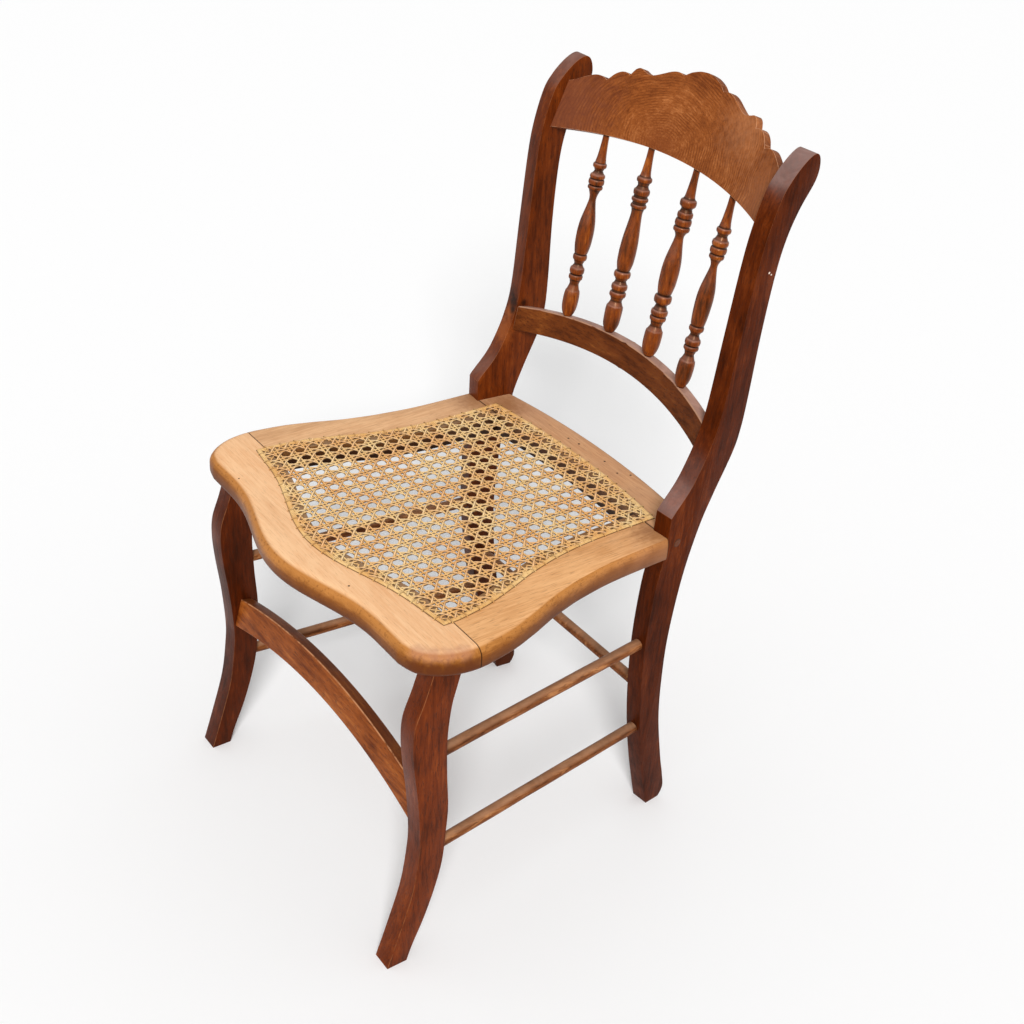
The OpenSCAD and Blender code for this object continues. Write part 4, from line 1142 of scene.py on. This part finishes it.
def lattice(u, v):
    """A place in the weave: whole numbers are the middles of the gaps."""
    x = GAP_X + u * PITCH
    return x, GAP_Y + v * PITCH + ROW_BOW * (x / 180) ** 2


def near_border(x, y):
    return in_seat(x, y) and not in_seat(x, y, BORDER)


def runs(line, inside):
    """The stretches of a line that lie inside the seat, as lists of its parameter."""
    out, run = [], []
    for k in range(int((LINE_TO - LINE_FROM) / LINE_STEP) + 1):
        t = LINE_FROM + k * LINE_STEP
        if inside(*lattice(*line(t))):
            run.append(t)
        else:
            out.append(run)
            run = []
    return [stretch for stretch in out + [run] if len(stretch) > 2]


print("the first gap is at", lattice(0, 0))

# %% Strands
STRAND_W, STRAND_T = 2.45, 0.75
STRAND_SHADE = [1, 0.9, 0, 0, 0.9, 1]


def strand(bm, path, width, thick, seed, depth=0.0):
    """A flat strip with a rounded top along a path of (x, y, height above the rails)."""
    stations = []
    for i, (x, y, z) in enumerate(path):
        a, b = path[max(i - 1, 0)], path[min(i + 1, len(path) - 1)]
        side = Vector((a[1] - b[1], b[0] - a[0])).normalized()
        half = width / 2 * (1 + 0.10 * noise.noise((seed * 3.7, i * 0.13, 0)))
        rounded = [(-half, 0.5 * thick), (-0.5 * half, thick), (0.5 * half, thick), (half, 0.5 * thick)]
        section = [(-half, -depth)] + rounded + [(half, -depth)]
        stations.append([(x + side.x * s, y + side.y * s, SEAT_H + z + h) for s, h in section])
    swept(bm, stations, STRAND_SHADE)


def cane_layer(lines, width, height, depth, inside):
    """lines gives each strand as a function from its parameter to lattice places."""
    bm = bmesh.new()
    for number, line in enumerate(lines):
        drift = random.uniform(-0.45, 0.45)
        for run in runs(line, inside):
            path = []
            for t in run:
                x, y = lattice(*line(t))
                sway = drift + 0.5 * noise.noise((number * 1.3, t * 0.35, 1))
                path.append((x + sway, y + sway * 0.5, height(t, number)))
            strand(bm, path, width * random.uniform(0.93, 1.05), STRAND_T, number, depth)
    seal(bm)
    return bm


# %% Cane's finish


def cane(name, base, shade, pale, grain):
    """Split cane: glossy, with fine lines along it, and painted shade along the sides of each strand."""
    paint = Paint(name)
    plain = paint.place()
    coarse = paint.noise(plain, 26.0, 3.0, 0.6)
    fine = paint.noise(plain, 420.0, 2.0, 0.5)
    fibre = paint.noise(paint.along(grain, 900.0, 60.0), 1.0, 2.0)
    color = paint.mix(coarse.between(0.35, 0.68), base, pale)
    color = paint.mix(fibre.between(0.45, 0.75) * 0.40, color, shade)
    color = paint.mix(fine.between(0.60, 0.78) * 0.35, color, shade)
    color = paint.mix(paint.attribute("shade") * 0.9, color, shade)
    return paint.finish(color, 0.42, fibre, 0.25, 0.0002, IOR=1.3)


STRAW = srgb(240, 180, 110), srgb(58, 28, 12), srgb(252, 212, 146)
TOP_STRAW = srgb(248, 192, 134), srgb(64, 31, 14), srgb(255, 220, 164)
BINDER_STRAW = srgb(236, 180, 108), srgb(70, 36, 16), srgb(250, 208, 142)
straw_back = cane("cane from back to front", *STRAW, "Y")
straw_across = cane("cane across", *STRAW, "X")
straw_top = cane("diagonal cane", *TOP_STRAW, "X")
straw_binder = cane("binding strand", *BINDER_STRAW, "X")
print("cane finishes:", [straw.name for straw in (straw_back, straw_across, straw_top, straw_binder)])

# %% The six directions of the weave
# Lines across and on the diagonal have the chair's middle near t = 12, so that they reach both sides
HALF_PAIR, MIDDLE = PAIR_HALF / PITCH, 12
DIAGONALS = range(-16, 34)
pairs_back = [
    (lambda t, u=i + 0.5 + s * HALF_PAIR: (u, t)) for i in range(-14, 14) for s in (-1, 1)
]
pairs_across = [
    (lambda t, v=j + 0.5 + s * HALF_PAIR: (t - MIDDLE, v)) for j in range(-2, 21) for s in (-1, 1)
]
falling = [(lambda t, c=k + 0.5: (t - MIDDLE, c - (t - MIDDLE))) for k in DIAGONALS]
rising = [(lambda t, c=k + 0.5: (t - MIDDLE, c + (t - MIDDLE))) for k in DIAGONALS]
ends = [(lambda t, c=k, slope=s: (t - MIDDLE, c + slope * (t - MIDDLE))) for k in DIAGONALS for s in (-1, 1)]


def pair_height(phase):
    return lambda t, n: 0.80 + 0.15 * math.cos(math.pi * (2 * t + n + phase))


def diagonal_height(sign):
    """Over the strands across where a diagonal meets them, and under the others, or the reverse."""
    return lambda t, n: 0.92 + 0.82 * sign * math.cos(math.tau * t)


def end_height(t, n):
    return 0.2 + 0.3 * (n % 2)


layers = [
    ("cane_back_to_front", pairs_back, STRAND_W, pair_height(0), 0.75, straw_back, in_seat),
    ("cane_across", pairs_across, STRAND_W, pair_height(1), 0.75, straw_across, in_seat),
    ("cane_rising", rising, STRAND_W, diagonal_height(-1), 0.1, straw_top, in_seat),
    ("cane_falling", falling, STRAND_W, diagonal_height(1), 0.1, straw_top, in_seat),
    ("cane_ends", ends, 2.3, end_height, 0, straw_back, near_border),
]
for name, lines, width, height, depth, straw, inside in layers:
    bm = cane_layer(lines, width, height, depth, inside)
    finish_piece(name, bm, straw, "cane_panel", CANE_BELOW)

# %% [markdown]
# Binding
#
# A wider flat strand covers the row of drilled holes, held down by a small loop of cane at each
# hole. The strip is swept round the closed outline of the caning, and every loop is a short strand
# that rises out of the hole, crosses the strip and goes down again.

# %% Binding strip
BINDER_W, BINDER_T = 6.5, 1.6
BINDER_SECTION = [(0, 0), (0, 0.7), (0.8, 1.25), (2.2, 1.55), (4.3, 1.55), (5.7, 1.25), (6.5, 0.7), (6.5, 0)]
BINDER_SHADE = [1, 1, 0.15, 0, 0, 0.15, 1, 1]
cane_back_x = cane_side(SIDE_LEN)
side_y = span(cane_front(CANE_CORNER_X), cane_back(cane_back_x), 60)
ring = [(x, cane_front(x)) for x in span(-CANE_CORNER_X, CANE_CORNER_X, 90)]
ring += [(cane_side(y), y) for y in side_y][1:]
ring += [(x, cane_back(x)) for x in span(cane_back_x, -cane_back_x, 40)][1:]
ring += [(-cane_side(y), y) for y in reversed(side_y)][1:-1]


def inward(path, i):
    """The direction to the inside of a closed path, longer in a corner to keep the strip's width."""
    before = (Vector(path[i]) - Vector(path[i - 1])).normalized()
    after = (Vector(path[(i + 1) % len(path)]) - Vector(path[i])).normalized()
    a, b = Vector((-before.y, before.x)), Vector((-after.y, after.x))
    return (a + b) / (1 + a.dot(b))


stations = []
for i, (x, y) in enumerate(ring):
    side = inward(ring, i)
    lift = 0.12 * noise.noise((i * 0.21, 0, 0))
    stations.append([(x + side.x * w, y + side.y * w, SEAT_H + max(h + lift * h, 0)) for w, h in BINDER_SECTION])
bm = bmesh.new()
swept(bm, stations, BINDER_SHADE, loop_path=True)
seal(bm)
finish_piece("cane_binder", bm, straw_binder, "cane_binder", CANE_BELOW)

# %% Places of the drilled holes
HOLE_PITCH = 19


def hole_places():
    """Places on the strip's middle line at an even pitch, with the direction across the strip."""
    middle = [Vector(p) + inward(ring, i) * BINDER_W / 2 for i, p in enumerate(ring)]
    total = sum((middle[i] - middle[i - 1]).length for i in range(len(middle)))
    count = round(total / HOLE_PITCH)
    out, walked, k = [], 0.0, 0
    for i, a in enumerate(middle):
        b = middle[(i + 1) % len(middle)]
        length = (b - a).length
        while k < count and (k + 0.5) * total / count <= walked + length:
            share = ((k + 0.5) * total / count - walked) / length
            step = (b - a).normalized()
            out.append((a + (b - a) * share, Vector((-step.y, step.x))))
            k += 1
        walked += length
    return out


holes = hole_places()
print("holes under the strip:", len(holes))

# %% Loops over the binding strip
LOOP = [
    (-0.5, 0.0), (-0.5, 0.55), (-0.44, 0.9), (-0.3, 1.0), (0, 1.0), (0.3, 1.0), (0.44, 0.9), (0.5, 0.55), (0.5, 0.0),
]
LOOP_REACH, LOOP_LEAN = BINDER_W + 1.6, 0.9
TIE_HALF, TIE_T, TIE_TOP_SHARE = 0.88, 0.75, 0.7
bm = bmesh.new()
for middle, side in holes:
    lean = random.uniform(-LOOP_LEAN, LOOP_LEAN)
    run = Vector((side.y, -side.x))
    stations = []
    for share, rise in LOOP:
        foot = middle + side * share * LOOP_REACH + run * lean * share
        inner = Vector((foot.x, foot.y, SEAT_H + rise * BINDER_T))
        lift = 0.35 if abs(share) < 0.45 else 0.05
        outer = inner + Vector((side.x * share, side.y * share, lift)).normalized() * TIE_T
        half = Vector((run.x, run.y, 0)) * TIE_HALF
        top_half = half * TIE_TOP_SHARE
        stations.append([inner - half, inner + half, outer + top_half, outer - top_half])
    swept(bm, stations, [1, 1, 0.35, 0.35])
seal(bm)
finish_piece("binder_ties", bm, straw_back, "binder_ties", CANE_BELOW)

# %% [markdown]
# Under the seat
#
# Turned over, a hand caned seat shows where the strands pass from hole to hole under the rails.
# Short flat strands between neighbouring holes make that pattern.

# %% Strands under the rails
bm = bmesh.new()
for k in range(0, len(holes) - 1, 2):
    a, b = holes[k][0], holes[k + 1][0]
    path = []
    for t in span(0, 1, 6):
        x, y = a + (b - a) * t
        path.append((x, y, -SEAT_T - 0.2 - 0.9 * math.sin(math.pi * t)))
    strand(bm, path, 2.4, -0.7, k)
seal(bm)
finish_piece("cane_under_rails", bm, straw_back, None, CANE_BELOW)

# %% [markdown]
# Pegs and hidden fastenings
#
# A stained plug covers the screw that ties each post to the seat. It is spun from a short profile
# that stands a hair proud of the post, with the dark glue line at its rim. The dowels and screws
# keep the construction model's solids, which have the right shape already, and only get a finish.

# %% Plugs over the screws
PLUG_Y, PLUG_Z, PLUG_R, PLUG_T = 18, -12.5, 5.5, 5
PLUG_PROFILE = [
    (0, -PLUG_T, 0), (PLUG_R, -PLUG_T, 1), (PLUG_R, -0.1, 1), (PLUG_R, 0.12, 1),
    (PLUG_R - 0.9, 0.28, 0.2), (0, 0.35, 0),
]
plug_wood = wood("plug wood", srgb(70, 34, 20), srgb(100, 54, 32), srgb(126, 74, 46), "Y", 0.45)
place = TO_SCENE @ POST_FRAME @ Matrix.Translation((0, PLUG_Y, PLUG_Z)) @ Matrix.Rotation(math.pi / 2, 4, "Y")
bm = bmesh.new()
for side in (1, -1):
    made_before = set(bm.verts)
    turned(bm, PLUG_PROFILE, 32)
    plug = [v for v in bm.verts if v not in made_before]
    bmesh.ops.transform(bm, matrix=Matrix.Diagonal((side, 1, 1, 1)) @ place, verts=plug)
bmesh.ops.remove_doubles(bm, verts=bm.verts, dist=TOUCHING)
bmesh.ops.recalc_face_normals(bm, faces=bm.faces)
finish_piece("screw_plugs", bm, plug_wood, "screw_plugs")

# %% Finishes for dowels and screws
steel = Paint("zinc plated steel")
grit = steel.noise(steel.place(), 300.0, 3.0)
steel_finish = steel.finish(srgb(176, 176, 172), grit.scaled(0.3, 0.7, 0.35, 0.55), grit, 0.1, 0.0002, Metallic=1.0)
dowel_wood = wood("raw dowel wood", srgb(170, 128, 82), srgb(196, 158, 108), srgb(214, 180, 132), "Y", 0.6)
for node, material in (("seat_dowels", dowel_wood), ("post_screws", steel_finish)):
    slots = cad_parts[node].material_slots
    for slot in slots:
        slot.material = material
    print(node, "has", len(slots), "material slots")

# %% [markdown]
# Floor
#
# The chair stands on a plain floor. Its colour is nearly white, as the photograph's ground is, and
# it takes the soft shadow that sets the chair on the ground.

# %% Floor
bm = bmesh.new()
bmesh.ops.create_grid(bm, x_segments=1, y_segments=1, size=6)
floor_mesh = bpy.data.meshes.new("floor")
bm.to_mesh(floor_mesh)
bm.free()
floor = bpy.data.objects.new("floor", floor_mesh)
bpy.context.collection.objects.link(floor)
floor_mesh.materials.append(Paint("pale floor").finish((0.96, 0.96, 0.96, 1), 0.9))
